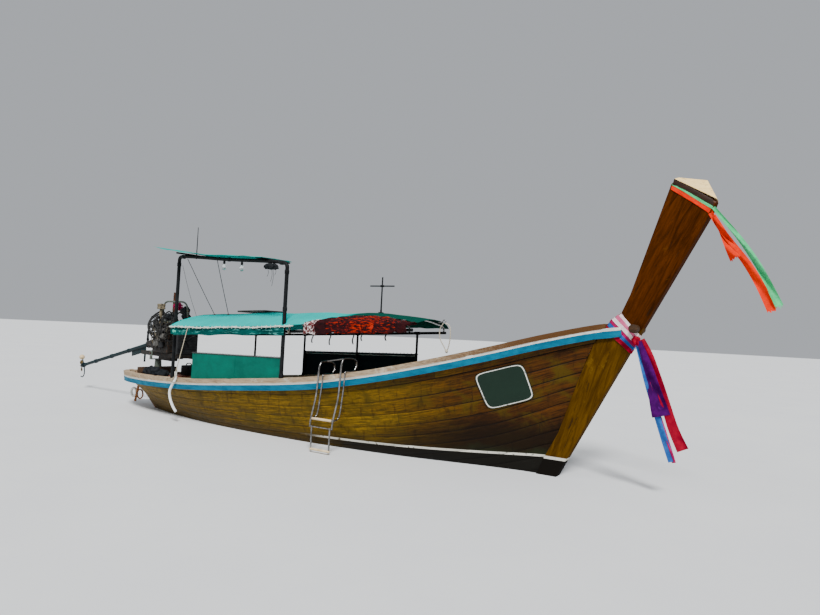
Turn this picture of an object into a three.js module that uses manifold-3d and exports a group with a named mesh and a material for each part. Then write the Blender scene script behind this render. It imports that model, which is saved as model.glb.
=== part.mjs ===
// A wooden longtail boat, afloat, with its canopy, ladder and swinging engine.
// Millimetres. +X is the bow, +Y is port, +Z is up. The origin is on the waterline,
// on the centre line, half way along the waterline.
import * as THREE from 'three';
import { mergeVertices } from 'three/addons/utils/BufferGeometryUtils.js';
import Module from 'manifold-3d';

const wasm = await Module();
wasm.setup();

// General sizes
const GAP = 0.35;
const SIDES = 10;
const PLANK = 28;
const POST_HALF = 40;
const KEEL_HALF = 34;
const KEEL_TOP = -330;
const KEEL_DEPTH = 110;

// The sheer line, by station: distance from the origin, half beam, height of the rub rail's top
const SHEER = {
  x: [-5020, -4880, -4500, -3900, -3000, -2000, -700, 500, 1500, 2500, 3300, 4000, 4600, 4860],
  half: [40, 205, 385, 560, 740, 870, 930, 940, 910, 790, 600, 320, 80, 79],
  height: [590, 590, 590, 600, 630, 685, 795, 915, 1080, 1305, 1520, 1730, 1880, 1915],
};
const SHEER_ENDS = [-4995, 4645];
const OVERRUN = 12;

// Where the planks end on the stern post and on the stem, by height
const STERN_EDGE = {
  z: [-340, -260, -120, 20, 150, 330, 420, 570, 640],
  x: [-3250, -3600, -3880, -4065, -4235, -4465, -4620, -4940, -5000],
};
const STEM_EDGE = {
  z: [-340, -250, -160, 0, 204, 567, 1258, 1714, 1960],
  x: [3400, 3600, 3700, 3830, 3918, 4104, 4337, 4510, 4660],
};

// The stem timber, by station from the keel to the head: rear edge, front edge, half thickness
const STEM = [
  { rear: [3410, -332], front: [3410, -440], half: 36 },
  { rear: [3600, -250], front: [3680, -415], half: 55 },
  { rear: [3700, -160], front: [3900, -335], half: 68 },
  { rear: [3830, 0], front: [4060, -70], half: 75 },
  { rear: [3918, 204], front: [4165, 130], half: 75 },
  { rear: [4104, 567], front: [4370, 530], half: 75 },
  { rear: [4337, 1258], front: [4720, 1200], half: 76 },
  { rear: [4510, 1714], front: [4960, 1670], half: 78 },
  { rear: [4721, 2038], front: [5100, 1945], half: 80 },
  { rear: [4840, 2129], front: [5185, 2110], half: 84 },
  { rear: [4939, 2354], front: [5300, 2330], half: 90 },
  { rear: [5130, 2944], front: [5590, 2895], half: 98 },
  { rear: [5290, 3440], front: [5790, 3280], half: 104 },
  { rear: [5365, 3670], front: [5835, 3385], half: 106 },
  { rear: [5400, 3725], front: [5862, 3450], half: 74 },
];

// The shape of a section, by place along the hull: how full the turn of the bilge is
const SECTION = {
  u: [0, 0.12, 0.3, 0.5, 0.72, 0.88, 1],
  lowWidth: [0.3, 0.36, 0.48, 0.52, 0.46, 0.36, 0.33],
  highWidth: [0.7, 0.74, 0.8, 0.84, 0.78, 0.7, 0.67],
  lowHeight: [0.3, 0.18, 0.06, 0.03, 0.06, 0.16, 0.33],
  highHeight: [0.66, 0.5, 0.4, 0.37, 0.42, 0.52, 0.67],
};
const STATIONS = 36;
const CHINE = 0.46;
const CHINE_STEPS = 5;
const SEAM = 0.0014;

// Rails on the sheer
const RUB_HIGH = 115;
const RUB_WHITE = 35;
const RUB_THICK = 32;
const CAP_HIGH = 62;
const CAP_WIDE = 125;
const CAP_REAR = -5080;
const RUB_ENDS = [-5035, 4850];
const RUB_OFF = 6;

// Posts, and the wider copies of them that trim the planks
const SIDES_OF_BOAT = [['port', 1], ['starboard', -1]];
const STERN_POST = 62;
const STERN_POST_TOP = 622;
const TRIM_WIDER = 2.6;
const LOG = { x: 5015, z: 1935, r: 52, half: 265 };

// Inside of the hull
const FRAMES = [
  { name: 'frames_aft', stations: [4, 7, 10], keelson: [-2700, -1130], riser: [0.108, 0.32] },
  { name: 'frames_middle', stations: [13, 16, 19, 22], keelson: [-1129.3, 1100], riser: [0.3202, 0.652] },
  { name: 'frames_fore', stations: [25, 28, 31], keelson: [1100.7, 2560], riser: [0.6522, 0.864] },
];
const RIB_FOOT = 0.037;
const RIB_TOP = 0.96;
const RIB_OFF = 6;
const RIB_WIDE = 0.0057;
const RIB_DEEP = 42;
const KEELSON = { middle: -70, reach: 2630, half: 100, endHalf: 55, z: [-294, -222] };
const RISER_AT = 0.74;
const RISER_HIGH = 0.045;
const RISER_DEEP = 34;
const FLOOR_Z = -150;
const FLOOR_THICK = 22;
const FLOOR_ENDS = [-2750, 2950];
const DECK = { rear: -4830, front: -3420, top: 650, thick: 30 };
const THWART_THICK = 32;
const THWART_WIDE = 260;
const THWARTS = [-1300, 100, 1350];

// Canopy: rails, bows, cloth and side panels, by distance from the origin
const RAIL = {
  x: [-2610, -1070, 130, 1360, 2300],
  half: [800, 850, 870, 860, 830],
  z: [1540, 1610, 1674, 1741, 1790],
};
const RAIL_R = 22;
const RAIL_FRONT = { port: 1900, starboard: 2300 };
const CLOTH = {
  x: [-2560, -1500, 0, 1300, 2300],
  crown: [1900, 1965, 2005, 2030, 1940],
  eave: [1665, 1695, 1765, 1840, 1860],
};
const CLOTH_HALF = 985;
const CLOTH_THICK = 10;
const FOLDED_BACK = { x: [-2560, 250, 900, 1500, 2000, 2300], half: [985, 985, 640, 470, 560, 700] };
const BOW_R = 15;
const BOWS = [-2400, -1070, 130, 1200, 1860];
const RIDGE_R = 13;
const PORT_POSTS = [-2300, -1070, 130, 1360];
const POST_R = 20;
const CURTAIN = { ends: [-2540, 110], drop: 150, thick: 12 };
const JACKETS = { ends: [500, 2280], thick: 42, outer: 985, hang: 45 };
const GREEN_PANEL = { ends: [-2090, 28], y: [-845, -893], top: [1221, 1269], thick: 12 };
const BLACK_PANEL = { ends: [-1080, 1370], top: [1303, 1398], thick: 10 };

// The tall pipe frame on the starboard side, with the awning's sticks and the aerial on it
const TALL_R = 30;
const TALL = { aft: [-2640, -800, 2890], fore: [60, -922.4, 2720], corner: 110 };
const STICKS = { x: [-2750, -2350, -450], y: [-1090, -330], r: 14 };
const AERIAL = { x: -2120, high: 520, r: 9 };
const AWNING = { ends: [-3150, -130], y: [-1100, -320], thick: 8 };
const NET = { x: -300, long: 300, r: 55 };
const CROSS_MAST = { x: 1200, high: 560, r: 13, arm: 225, armAt: 420 };
const SOLAR = { x: [-1700, -1040], half: 250, thick: 30 };

// The engine and its pivot
const PIVOT = [-4150, 0, 1080];
const REST_YAW = -9.7;
const BEAM = { x: [-4265, -4035], half: 378, high: 150 };
const KING_PIN = 32;
const EAR = { half: 45, inner: 146, thick: 16, top: 48, pin: 22 };
const FRAME = { x: [-460, 1130], inner: 88, outer: 140, z: [-45, 35] };
const BLOCK = { x: [80, 700], half: 185, top: 430 };
const HEAD = { x: [95, 685], half: 120, top: 600 };
const CRANK_Z = 190;
const TANK = { x: [930, 1125], half: 205, top: 520 };
const TAIL_SLOPE = 11.5;
const TAIL_ROOT = [-420, 0, 157];
const TAIL_LENGTH = 3400;
const TAIL_R = 42;
const PROP = { at: 3480, hub: 33, long: 110, reach: 135, wide: 80 };

// Ladder: x of its two uprights at the top, and how far they lean aft lower down
const TUBE_R = 13;
const LADDER = { x: [930, 1325], lean: -80, y: -1085, standoff: -1002, hinge: [-1120, 360] };
const RUNG_R = 17;

// Finishes
const FINISH = {
  hullWood: { color: 0x6b4a14, roughness: 0.35, metalness: 0 },
  darkWood: { color: 0x4a2a12, roughness: 0.5, metalness: 0 },
  bottomPaint: { color: 0x1a1410, roughness: 0.7, metalness: 0 },
  capWood: { color: 0xb9a081, roughness: 0.8, metalness: 0 },
  bluePaint: { color: 0x1777b0, roughness: 0.5, metalness: 0 },
  pinkDeck: { color: 0x9c5546, roughness: 0.7, metalness: 0 },
  blackPipe: { color: 0x15181c, roughness: 0.5, metalness: 0.4 },
  turquoise: { color: 0x18cfc0, roughness: 0.8, metalness: 0 },
  greenPanel: { color: 0x0b6b55, roughness: 0.6, metalness: 0 },
  blackPanel: { color: 0x0b1214, roughness: 0.6, metalness: 0 },
  steel: { color: 0xb9bcc0, roughness: 0.3, metalness: 1 },
  castIron: { color: 0x24211f, roughness: 0.7, metalness: 0.7 },
  greyGreen: { color: 0x6d7a68, roughness: 0.5, metalness: 0.4 },
  cream: { color: 0xe6d5ae, roughness: 0.6, metalness: 0 },
  rust: { color: 0x8b431c, roughness: 0.9, metalness: 0.3 },
  pinkCloth: { color: 0xd83b78, roughness: 0.9, metalness: 0 },
  purpleCloth: { color: 0x5c1880, roughness: 0.9, metalness: 0 },
  orangeCloth: { color: 0xf26a2a, roughness: 0.9, metalness: 0 },
  redCloth: { color: 0x9c2020, roughness: 0.9, metalness: 0 },
  whiteHose: { color: 0xe8e8e4, roughness: 0.5, metalness: 0 },
  bronze: { color: 0x5d4a2a, roughness: 0.4, metalness: 0.9 },
};

const boat = new THREE.Group();
const swivel = new THREE.Group();
const engineUnit = new THREE.Group();

// Reading a smooth line through a short table
function along(xs, ys, x) {
  const last = xs.length - 1;
  const at = Math.min(Math.max(x, xs[0]), xs[last]);
  let i = 0;
  while (i < last - 1 && at > xs[i + 1]) i += 1;
  const slope = (k) => (ys[k + 1] - ys[k]) / (xs[k + 1] - xs[k]);
  const tangent = (k) => {
    if (k === 0) return slope(0);
    if (k === last) return slope(last - 1);
    const before = slope(k - 1);
    const after = slope(k);
    return before * after <= 0 ? 0 : (2 * before * after) / (before + after);
  };
  const span = xs[i + 1] - xs[i];
  const t = (at - xs[i]) / span;
  const rise = (t * t) * (3 - 2 * t);
  return ys[i] * (1 - rise) + ys[i + 1] * rise
    + span * t * (1 - t) * (tangent(i) * (1 - t) - tangent(i + 1) * t);
}

const lerp = THREE.MathUtils.lerp;
const radians = THREE.MathUtils.degToRad;
const halfBeam = (x) => along(SHEER.x, SHEER.half, x);
const sheerZ = (x) => along(SHEER.x, SHEER.height, x);
const railZ = (x) => along(RAIL.x, RAIL.z, x);
const railHalf = (x) => along(RAIL.x, RAIL.half, x);
const capTop = (x) => sheerZ(x) + RUB_WHITE + CAP_HIGH;

// Closed geometry helpers
function bare(geometry) {
  const copy = geometry.clone();
  copy.deleteAttribute('normal');
  copy.deleteAttribute('uv');
  return mergeVertices(copy, 1e-3);
}

function volume(geometry) {
  const p = geometry.attributes.position;
  const index = geometry.index;
  const a = new THREE.Vector3();
  const b = new THREE.Vector3();
  const c = new THREE.Vector3();
  let sum = 0;
  for (let i = 0; i < index.count; i += 3) {
    a.fromBufferAttribute(p, index.getX(i));
    b.fromBufferAttribute(p, index.getX(i + 1));
    c.fromBufferAttribute(p, index.getX(i + 2));
    sum += a.dot(b.cross(c));
  }
  return sum;
}

function facingOut(geometry) {
  if (volume(geometry) < 0) {
    const list = Array.from(geometry.index.array);
    for (let i = 0; i < list.length; i += 3) {
      [list[i + 1], list[i + 2]] = [list[i + 2], list[i + 1]];
    }
    geometry.setIndex(list);
  }
  return geometry;
}

// A box of unit size bent by place(u, v, w), each from 0 to 1
function bent(stepsU, stepsV, place, stepsW = 1) {
  const geometry = bare(new THREE.BoxGeometry(1, 1, 1, stepsU, stepsV, stepsW));
  const p = geometry.attributes.position;
  for (let i = 0; i < p.count; i += 1) {
    p.setXYZ(i, ...place(p.getX(i) + 0.5, p.getY(i) + 0.5, p.getZ(i) + 0.5));
  }
  return facingOut(geometry);
}

function block([x0, x1], [y0, y1], [z0, z1]) {
  const geometry = bare(new THREE.BoxGeometry(x1 - x0, y1 - y0, z1 - z0));
  return geometry.translate((x0 + x1) / 2, (y0 + y1) / 2, (z0 + z1) / 2);
}

function rod(from, to, radius, endRadius = radius, sides = SIDES) {
  const a = new THREE.Vector3(...from);
  const b = new THREE.Vector3(...to);
  const geometry = bare(new THREE.CylinderGeometry(endRadius, radius, a.distanceTo(b), sides));
  const turn = new THREE.Quaternion().setFromUnitVectors(
    new THREE.Vector3(0, 1, 0), b.clone().sub(a).normalize());
  const middle = a.clone().add(b).multiplyScalar(0.5);
  return geometry.applyQuaternion(turn).translate(middle.x, middle.y, middle.z);
}

function circle(radius, sides) {
  const points = [];
  for (let i = 0; i < sides; i += 1) {
    const turn = (i / sides) * Math.PI * 2;
    points.push(new THREE.Vector2(radius * Math.cos(turn), radius * Math.sin(turn)));
  }
  return new THREE.Shape(points);
}

// A tube along a smooth curve through points
function tube(points, radius, steps, sides = 8) {
  const path = new THREE.CatmullRomCurve3(
    points.map((p) => new THREE.Vector3(...p)), false, 'centripetal');
  return facingOut(bare(new THREE.ExtrudeGeometry(
    circle(radius, sides), { steps, extrudePath: path, bevelEnabled: false })));
}

// A flat outline in the XZ plane, given its thickness along Y
function plate(outline, [y0, y1]) {
  const shape = new THREE.Shape(outline.map(([x, z]) => new THREE.Vector2(x, z)));
  const geometry = bare(new THREE.ExtrudeGeometry(shape, { depth: y1 - y0, bevelEnabled: false }));
  return facingOut(geometry.rotateX(Math.PI / 2).translate(0, y1, 0));
}

function toSolid(geometry) {
  return new wasm.Manifold(new wasm.Mesh({
    numProp: 3,
    vertProperties: new Float32Array(geometry.attributes.position.array),
    triVerts: new Uint32Array(geometry.index.array),
  }));
}

function fromSolid(solid) {
  const mesh = solid.getMesh();
  const geometry = new THREE.BufferGeometry();
  geometry.setAttribute('position', new THREE.BufferAttribute(mesh.vertProperties, 3));
  geometry.setIndex(Array.from(mesh.triVerts));
  return geometry;
}

function joined(...pieces) {
  return fromSolid(pieces.map(toSolid).reduce((all, piece) => all.add(piece)));
}

function cut(piece, ...tools) {
  return fromSolid(tools.map(toSolid).reduce((rest, tool) => rest.subtract(tool), toSolid(piece)));
}

// Moves a piece along a direction until it lies a thin gap from what carries it
function restDistance(piece, carrier, direction, reach = 60) {
  const mover = toSolid(piece);
  const still = toSolid(carrier);
  let free = -reach;
  let hit = reach;
  for (let i = 0; i < 16; i += 1) {
    const middle = (free + hit) / 2;
    const moved = mover.translate(direction.map((part) => part * middle));
    if (moved.intersect(still).volume() > 1e-3) hit = middle;
    else free = middle;
  }
  return free - GAP;
}

function shifted(piece, direction, distance) {
  return piece.clone().translate(...direction.map((part) => part * distance));
}

const DOWN = [0, 0, -1];
const UP = [0, 0, 1];
const TO_PORT = [0, 1, 0];
const AFT = [-1, 0, 0];
const FORWARD = [1, 0, 0];
const seated = (piece, carrier, direction) => shifted(piece, direction, restDistance(piece, carrier, direction));

function add(name, geometry, finish, group = boat) {
  const mesh = new THREE.Mesh(geometry, new THREE.MeshStandardMaterial(finish));
  mesh.name = name;
  group.add(mesh);
  return mesh;
}

// The hull's skin: u runs from stern to bow, v from keel to sheer, side is 1 to port
function section(u, v) {
  const sheerX = lerp(SHEER_ENDS[0], SHEER_ENDS[1], u);
  const top = sheerZ(sheerX) + RUB_WHITE - 1;
  const beam = halfBeam(sheerX);
  const widths = [KEEL_HALF + 1, along(SECTION.u, SECTION.lowWidth, u) * beam,
    along(SECTION.u, SECTION.highWidth, u) * beam, beam];
  const rise = top - KEEL_TOP;
  const heights = [KEEL_TOP, KEEL_TOP + along(SECTION.u, SECTION.lowHeight, u) * rise,
    KEEL_TOP + along(SECTION.u, SECTION.highHeight, u) * rise, top];
  const weights = [(1 - v) ** 3, 3 * v * (1 - v) ** 2, 3 * v * v * (1 - v), v ** 3];
  const mix = (values) => values.reduce((sum, value, i) => sum + value * weights[i], 0);
  return { y: Math.max(mix(widths), KEEL_HALF + 1), z: mix(heights) };
}

function skinPoint(u, v, side) {
  const { y, z } = section(u, v);
  const sternX = along(STERN_EDGE.z, STERN_EDGE.x, section(0, v).z) - OVERRUN;
  const stemX = along(STEM_EDGE.z, STEM_EDGE.x, section(1, v).z) + OVERRUN;
  return new THREE.Vector3(lerp(sternX, stemX, u), side * y, z);
}

// A point under the skin, at a depth from its outer face
function insideSkin(u, v, side, depth) {
  const step = 0.002;
  const here = skinPoint(u, v, side);
  const du = skinPoint(Math.min(u + step, 1), v, side).sub(skinPoint(Math.max(u - step, 0), v, side));
  const dv = skinPoint(u, Math.min(v + step, 1), side).sub(skinPoint(u, Math.max(v - step, 0), side));
  const normal = du.cross(dv).normalize();
  if (normal.y * side > 0) normal.negate();
  here.addScaledVector(normal, depth);
  here.y = side * Math.max(here.y * side, 6);
  return here.toArray();
}

function skin(side, [v0, v1], stepsV, [outer, inner] = [0, PLANK]) {
  return bent(STATIONS, stepsV, (u, v, w) => insideSkin(u, lerp(v0, v1, v), side, lerp(outer, inner, w)));
}

// Rails on the sheer share the skin's stations, with one more beyond each end
function railAt(k, [rear, front], side, out, z) {
  const u = Math.min(Math.max(k / STATIONS, 0), 1);
  let x = skinPoint(u, 1, 1).x;
  let from = lerp(SHEER_ENDS[0], SHEER_ENDS[1], u);
  if (k < 0) x = from = lerp(x, rear, -k);
  if (k > STATIONS) x = from = lerp(x, front, k - STATIONS);
  return [x, side * Math.max(halfBeam(from) + out, 4), sheerZ(from) + z];
}

// The cap on the gunwale, and a slightly larger copy that trims what meets it
function cap(side, grown) {
  return bent(STATIONS + 1, 1, (u, v, w) => railAt(
    u * (STATIONS + 1) - 1, [CAP_REAR, 0], side, lerp(50 - CAP_WIDE - grown, 50 + grown, w),
    lerp(RUB_WHITE - grown, RUB_WHITE + CAP_HIGH + grown, v)));
}
const capTrims = [cap(1, GAP), cap(-1, GAP)];

// Stem and stern post, and the wider copies of them that trim the ends of the planks
function stemPoint(s, across, through) {
  const place = s * (STEM.length - 1);
  const i = Math.min(Math.floor(place), STEM.length - 2);
  const t = place - i;
  const edge = (row, k) => lerp(STEM[i][row][k], STEM[i + 1][row][k], t);
  const half = lerp(STEM[i].half, STEM[i + 1].half, t);
  return [lerp(edge('rear', 0), edge('front', 0), across), lerp(-half, half, through),
    lerp(edge('rear', 1), edge('front', 1), across)];
}

function sternPoint(s, across, through) {
  const z = lerp(KEEL_TOP - KEEL_DEPTH + 5, STERN_POST_TOP, s);
  const inner = along(STERN_EDGE.z, STERN_EDGE.x, Math.max(z, KEEL_TOP));
  return [inner - across * STERN_POST, lerp(-POST_HALF, POST_HALF, through), z];
}

const stemBody = bent(STEM.length - 1, 3, stemPoint);
const sternBody = bent(12, 1, sternPoint);
const trimBow = stemBody.clone().scale(1, TRIM_WIDER, 1).translate(-GAP, 0, 0);
const trimStern = sternBody.clone().scale(1, TRIM_WIDER, 1).translate(GAP, 0, 0);
const keelBox = (grown) => block([-3255 - grown, 3405 + grown], [-KEEL_HALF - grown, KEEL_HALF + grown],
  [KEEL_TOP - KEEL_DEPTH, KEEL_TOP + 12 + grown]);
const trimKeel = keelBox(GAP);

for (const [word, side] of SIDES_OF_BOAT) {
  add(`hull_side_${word}`, cut(skin(side, [CHINE + SEAM, 1], CHINE_STEPS), trimBow, trimStern, ...capTrims),
    FINISH.hullWood);
  add(`hull_bottom_${word}`, cut(skin(side, [0, CHINE - SEAM], CHINE_STEPS), trimBow, trimStern, trimKeel),
    FINISH.bottomPaint);
}

add('keel', cut(keelBox(0), trimBow, trimStern), FINISH.bottomPaint);
add('stem_post', cut(stemBody, rod([LOG.x, -LOG.half, LOG.z], [LOG.x, LOG.half, LOG.z], LOG.r + GAP)),
  FINISH.darkWood);
add('stern_post', sternBody, FINISH.hullWood);

// The rub rail, the cap on the gunwale and the cross log
for (const [word, side] of SIDES_OF_BOAT) {
  add(`rub_rail_${word}`, bent(STATIONS + 2, 1, (u, v, w) => railAt(
    u * (STATIONS + 2) - 1, RUB_ENDS, side, lerp(RUB_OFF, RUB_OFF + RUB_THICK, w),
    lerp(RUB_WHITE - RUB_HIGH, RUB_WHITE - 0.8, v))), FINISH.bluePaint);
  add(`gunwale_cap_${word}`, cut(cap(side, 0), trimBow), FINISH.capWood);
}

add('cross_log', rod([LOG.x, -LOG.half, LOG.z], [LOG.x, LOG.half, LOG.z], LOG.r), FINISH.darkWood);

// The block that closes the bow behind the stem
add('bow_block', cut(bent(6, 1, (u, v, w) => {
  const x = lerp(3950, 4500, u);
  const half = Math.max(halfBeam(x) - CAP_WIDE + 48, 20);
  const top = lerp(sheerZ(3950) + 70, 1960, u);
  return [x, lerp(-half, half, v), lerp(sheerZ(x) - 60, top, w)];
}), ...capTrims), FINISH.darkWood);

// Ribs, keelson and risers, made one piece; the ribs stand on the skin's own stations
function skinStrip([u0, u1], [v0, v1], side, [d0, d1], stepsU, stepsV) {
  return bent(stepsU, stepsV, (u, v, w) => insideSkin(
    lerp(u0, u1, u), lerp(v0, v1, v), side, lerp(d0, d1, w)));
}

function atChineSteps(t) {
  return t < 0.5 ? lerp(RIB_FOOT, CHINE, t * 2) : lerp(CHINE, RIB_TOP, t * 2 - 1);
}

const inner = PLANK + RIB_OFF;
const footTrims = SIDES_OF_BOAT.map(([, side]) => skin(
  side, [0, CHINE - SEAM], CHINE_STEPS, [-30, PLANK + 3]));
const ribTrim = block([-4000, 4000], [-1100, 1100], [KEEL_TOP, KEEL_TOP + 12 + GAP]);
const frameSolids = [];
for (const { name, stations, keelson, riser } of FRAMES) {
  const timbers = [bent(4, 1, (u, v, w) => {
    const x = lerp(...keelson, u);
    const half = lerp(KEELSON.half, KEELSON.endHalf, (Math.abs(x - KEELSON.middle) / KEELSON.reach) ** 3);
    return [x, lerp(-half, half, v), lerp(...KEELSON.z, w)];
  })];
  for (const [, side] of SIDES_OF_BOAT) {
    for (const k of stations) {
      timbers.push(bent(1, 2 * CHINE_STEPS, (u, v, w) => insideSkin(
        k / STATIONS + (u - 0.5) * RIB_WIDE, atChineSteps(v), side, inner + w * RIB_DEEP)));
    }
    timbers.push(skinStrip(riser, [RISER_AT, RISER_AT + RISER_HIGH], side,
      [inner + RIB_DEEP - 6, inner + RIB_DEEP + RISER_DEEP], 6, 1));
  }
  const solid = cut(joined(...timbers), ribTrim, ...footTrims);
  frameSolids.push(solid);
  add(name, solid, FINISH.darkWood);
}
const ribs = joined(...frameSolids);

// Floor, thwarts and stern deck
function placeUnderSkin(x, z, depth) {
  let low = 0;
  let high = 1;
  let u = 0.5;
  for (let i = 0; i < 30; i += 1) {
    const v = (low + high) / 2;
    const sternX = skinPoint(0, v, 1).x;
    u = Math.min(Math.max((x - sternX) / (skinPoint(1, v, 1).x - sternX), 0), 1);
    if (insideSkin(u, v, 1, depth)[2] < z) low = v;
    else high = v;
  }
  return { u, v: low };
}

function halfInside(x, z, depth) {
  const { u, v } = placeUnderSkin(x, z, depth);
  return insideSkin(u, v, 1, depth)[1];
}

function board([x0, x1], z, thick, depth, steps) {
  return bent(steps, 1, (u, v, w) => {
    const x = lerp(x0, x1, u);
    const half = halfInside(x, z, depth);
    return [x, lerp(-half, half, v), z + w * thick];
  });
}

add('floor_boards', seated(board(FLOOR_ENDS, FLOOR_Z, FLOOR_THICK, inner + RIB_DEEP + 12, 10), ribs, DOWN),
  FINISH.darkWood);
const sternDeck = cut(bent(10, 1, (u, v, w) => {
  const x = lerp(DECK.rear, DECK.front, u);
  const half = Math.max(halfBeam(x) - CAP_WIDE + 48, 20);
  return [x, lerp(-half, half, v), DECK.top - DECK.thick + w * DECK.thick + capTop(x) - capTop(DECK.rear)];
}), ...capTrims);
add('stern_deck', sternDeck, FINISH.pinkDeck);

THWARTS.forEach((x, i) => {
  const edge = x + THWART_WIDE / 2;
  const depth = inner + RIB_DEEP;
  const { u } = placeUnderSkin(edge, sheerZ(x) - 450, depth);
  const top = Math.max(insideSkin(u, RISER_AT + RISER_HIGH, 1, depth)[2],
    insideSkin(u, RISER_AT + RISER_HIGH, 1, depth + RISER_DEEP)[2]) + 4;
  const half = halfInside(x - THWART_WIDE / 2, top, depth + 8);
  const thwart = block([x - THWART_WIDE / 2, edge], [-half, half], [top, top + THWART_THICK]);
  add(`thwart_${i + 1}`, seated(thwart, ribs, DOWN), FINISH.darkWood);
});

// Canopy frame
function canopyZ(x, y) {
  const crown = along(CLOTH.x, CLOTH.crown, x);
  const eave = along(CLOTH.x, CLOTH.eave, x);
  return crown - (crown - eave) * (y / CLOTH_HALF) ** 2;
}

function railPoints(from, to, side, steps) {
  const points = [];
  for (let i = 0; i <= steps; i += 1) {
    const x = lerp(from, to, i / steps);
    points.push([x, side * railHalf(x), railZ(x)]);
  }
  return points;
}

const portFrame = [tube(railPoints(RAIL.x[0], RAIL_FRONT.port, 1, 6), RAIL_R, 12)];
for (const x of PORT_POSTS) {
  portFrame.push(rod([x, railHalf(x), capTop(x) - 15], [x, railHalf(x), railZ(x)], POST_R));
}
const portSideFrame = cut(joined(...portFrame), ...capTrims);
add('port_side_frame', portSideFrame, FINISH.blackPipe);
const aftLeg = rod([TALL.aft[0], TALL.aft[1], capTop(TALL.aft[0]) - 20],
  [TALL.aft[0], TALL.aft[1], TALL.aft[2] - TALL.corner], TALL_R, TALL_R, 12);
const starboardRail = seated(
  tube(railPoints(TALL.aft[0] + TALL_R + 2, RAIL_FRONT.starboard, -1, 6), RAIL_R, 12), aftLeg, AFT);
add('starboard_rail', starboardRail, FINISH.blackPipe);

const bowDrop = CLOTH_THICK + BOW_R + 5;
const bows = [];
for (const x of BOWS) {
  const half = railHalf(x);
  const arch = [];
  for (let i = -4; i <= 4; i += 1) {
    const y = (i / 4) * half * 0.93;
    arch.push([x, y, canopyZ(x, y) - bowDrop]);
  }
  const foot = railZ(x) + RAIL_R + 2;
  const knee = lerp(foot, arch[0][2], 0.55);
  bows.push(tube([[x, -half, foot], [x, -half, knee], ...arch, [x, half, knee], [x, half, foot]], BOW_R, 16, 6));
}
const ridge = [];
for (let i = 0; i <= 6; i += 1) {
  const x = lerp(BOWS[0] - 60, BOWS[BOWS.length - 1] + 60, i / 6);
  ridge.push([x, 0, canopyZ(x, 0) - bowDrop - 3]);
}
bows.push(tube(ridge, RIDGE_R, 12, 6));
const canopyBows = seated(joined(...bows), joined(portSideFrame, starboardRail), DOWN);
add('canopy_bows', canopyBows, FINISH.steel);

// Canopy cloth, with a slit for the forward leg, and what hangs or is stowed at its edge
const clothHalf = (x) => along(FOLDED_BACK.x, FOLDED_BACK.half, x);
const cloth = bent(18, 14, (u, v, w) => {
  const front = lerp(RAIL_FRONT.starboard, RAIL_FRONT.port + 60, v);
  const x = lerp(CLOTH.x[0], front, u);
  const y = lerp(-clothHalf(x), CLOTH_HALF, v);
  return [x, y, canopyZ(x, y) - w * CLOTH_THICK];
});
const slit = rod([TALL.fore[0], TALL.fore[1], 1500], [TALL.fore[0], TALL.fore[1], 2300], TALL_R + 5);
const canopyCloth = seated(cut(cloth, slit), canopyBows, DOWN);
add('canopy_cloth', canopyCloth, FINISH.turquoise);

add('side_curtain', seated(bent(12, 1, (u, v, w) => {
  const x = lerp(...CURTAIN.ends, u);
  const y = -CLOTH_HALF + 4 + w * CURTAIN.thick;
  const top = canopyZ(x, CLOTH_HALF) - CLOTH_THICK - 1;
  return [x, y, top - v * CURTAIN.drop];
}), canopyCloth, UP), FINISH.greenPanel);

add('stowed_jackets', seated(bent(12, 6, (u, v, w) => {
  const x = lerp(...JACKETS.ends, u);
  const start = -clothHalf(x) - 22;
  const bendAt = 0.6;
  const y = lerp(start, -JACKETS.outer + JACKETS.thick, Math.min(v / bendAt, 1));
  const under = [y, canopyZ(x, y) - CLOTH_THICK + 2];
  const over = [Math.max(y - w * JACKETS.thick, -JACKETS.outer), canopyZ(x, y) + JACKETS.thick];
  const drop = Math.max(v - bendAt, 0) / (1 - bendAt);
  const low = railZ(x) - JACKETS.hang;
  const inside = [under[0], lerp(under[1], low, drop)];
  const outside = [over[0] - drop * 6, lerp(over[1], low, drop)];
  return [x, lerp(inside[0], outside[0], w), lerp(inside[1], outside[1], w)];
}), canopyBows, DOWN), FINISH.redCloth);

function sidePanel(ends, side, yAt, tops, thick) {
  return bent(8, 1, (u, v, w) => {
    const x = lerp(...ends, u);
    return [x, side * (yAt(x, u) + w * thick), lerp(capTop(x) - 15, lerp(...tops, u), v)];
  });
}
add('green_panel', cut(sidePanel(GREEN_PANEL.ends, -1, (x, u) => -lerp(...GREEN_PANEL.y, u),
  GREEN_PANEL.top, GREEN_PANEL.thick), ...capTrims), FINISH.greenPanel);
add('black_panel', cut(sidePanel(BLACK_PANEL.ends, 1, (x) => railHalf(x) + POST_R + GAP + 0.5,
  BLACK_PANEL.top, BLACK_PANEL.thick), ...capTrims), FINISH.blackPanel);

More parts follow.
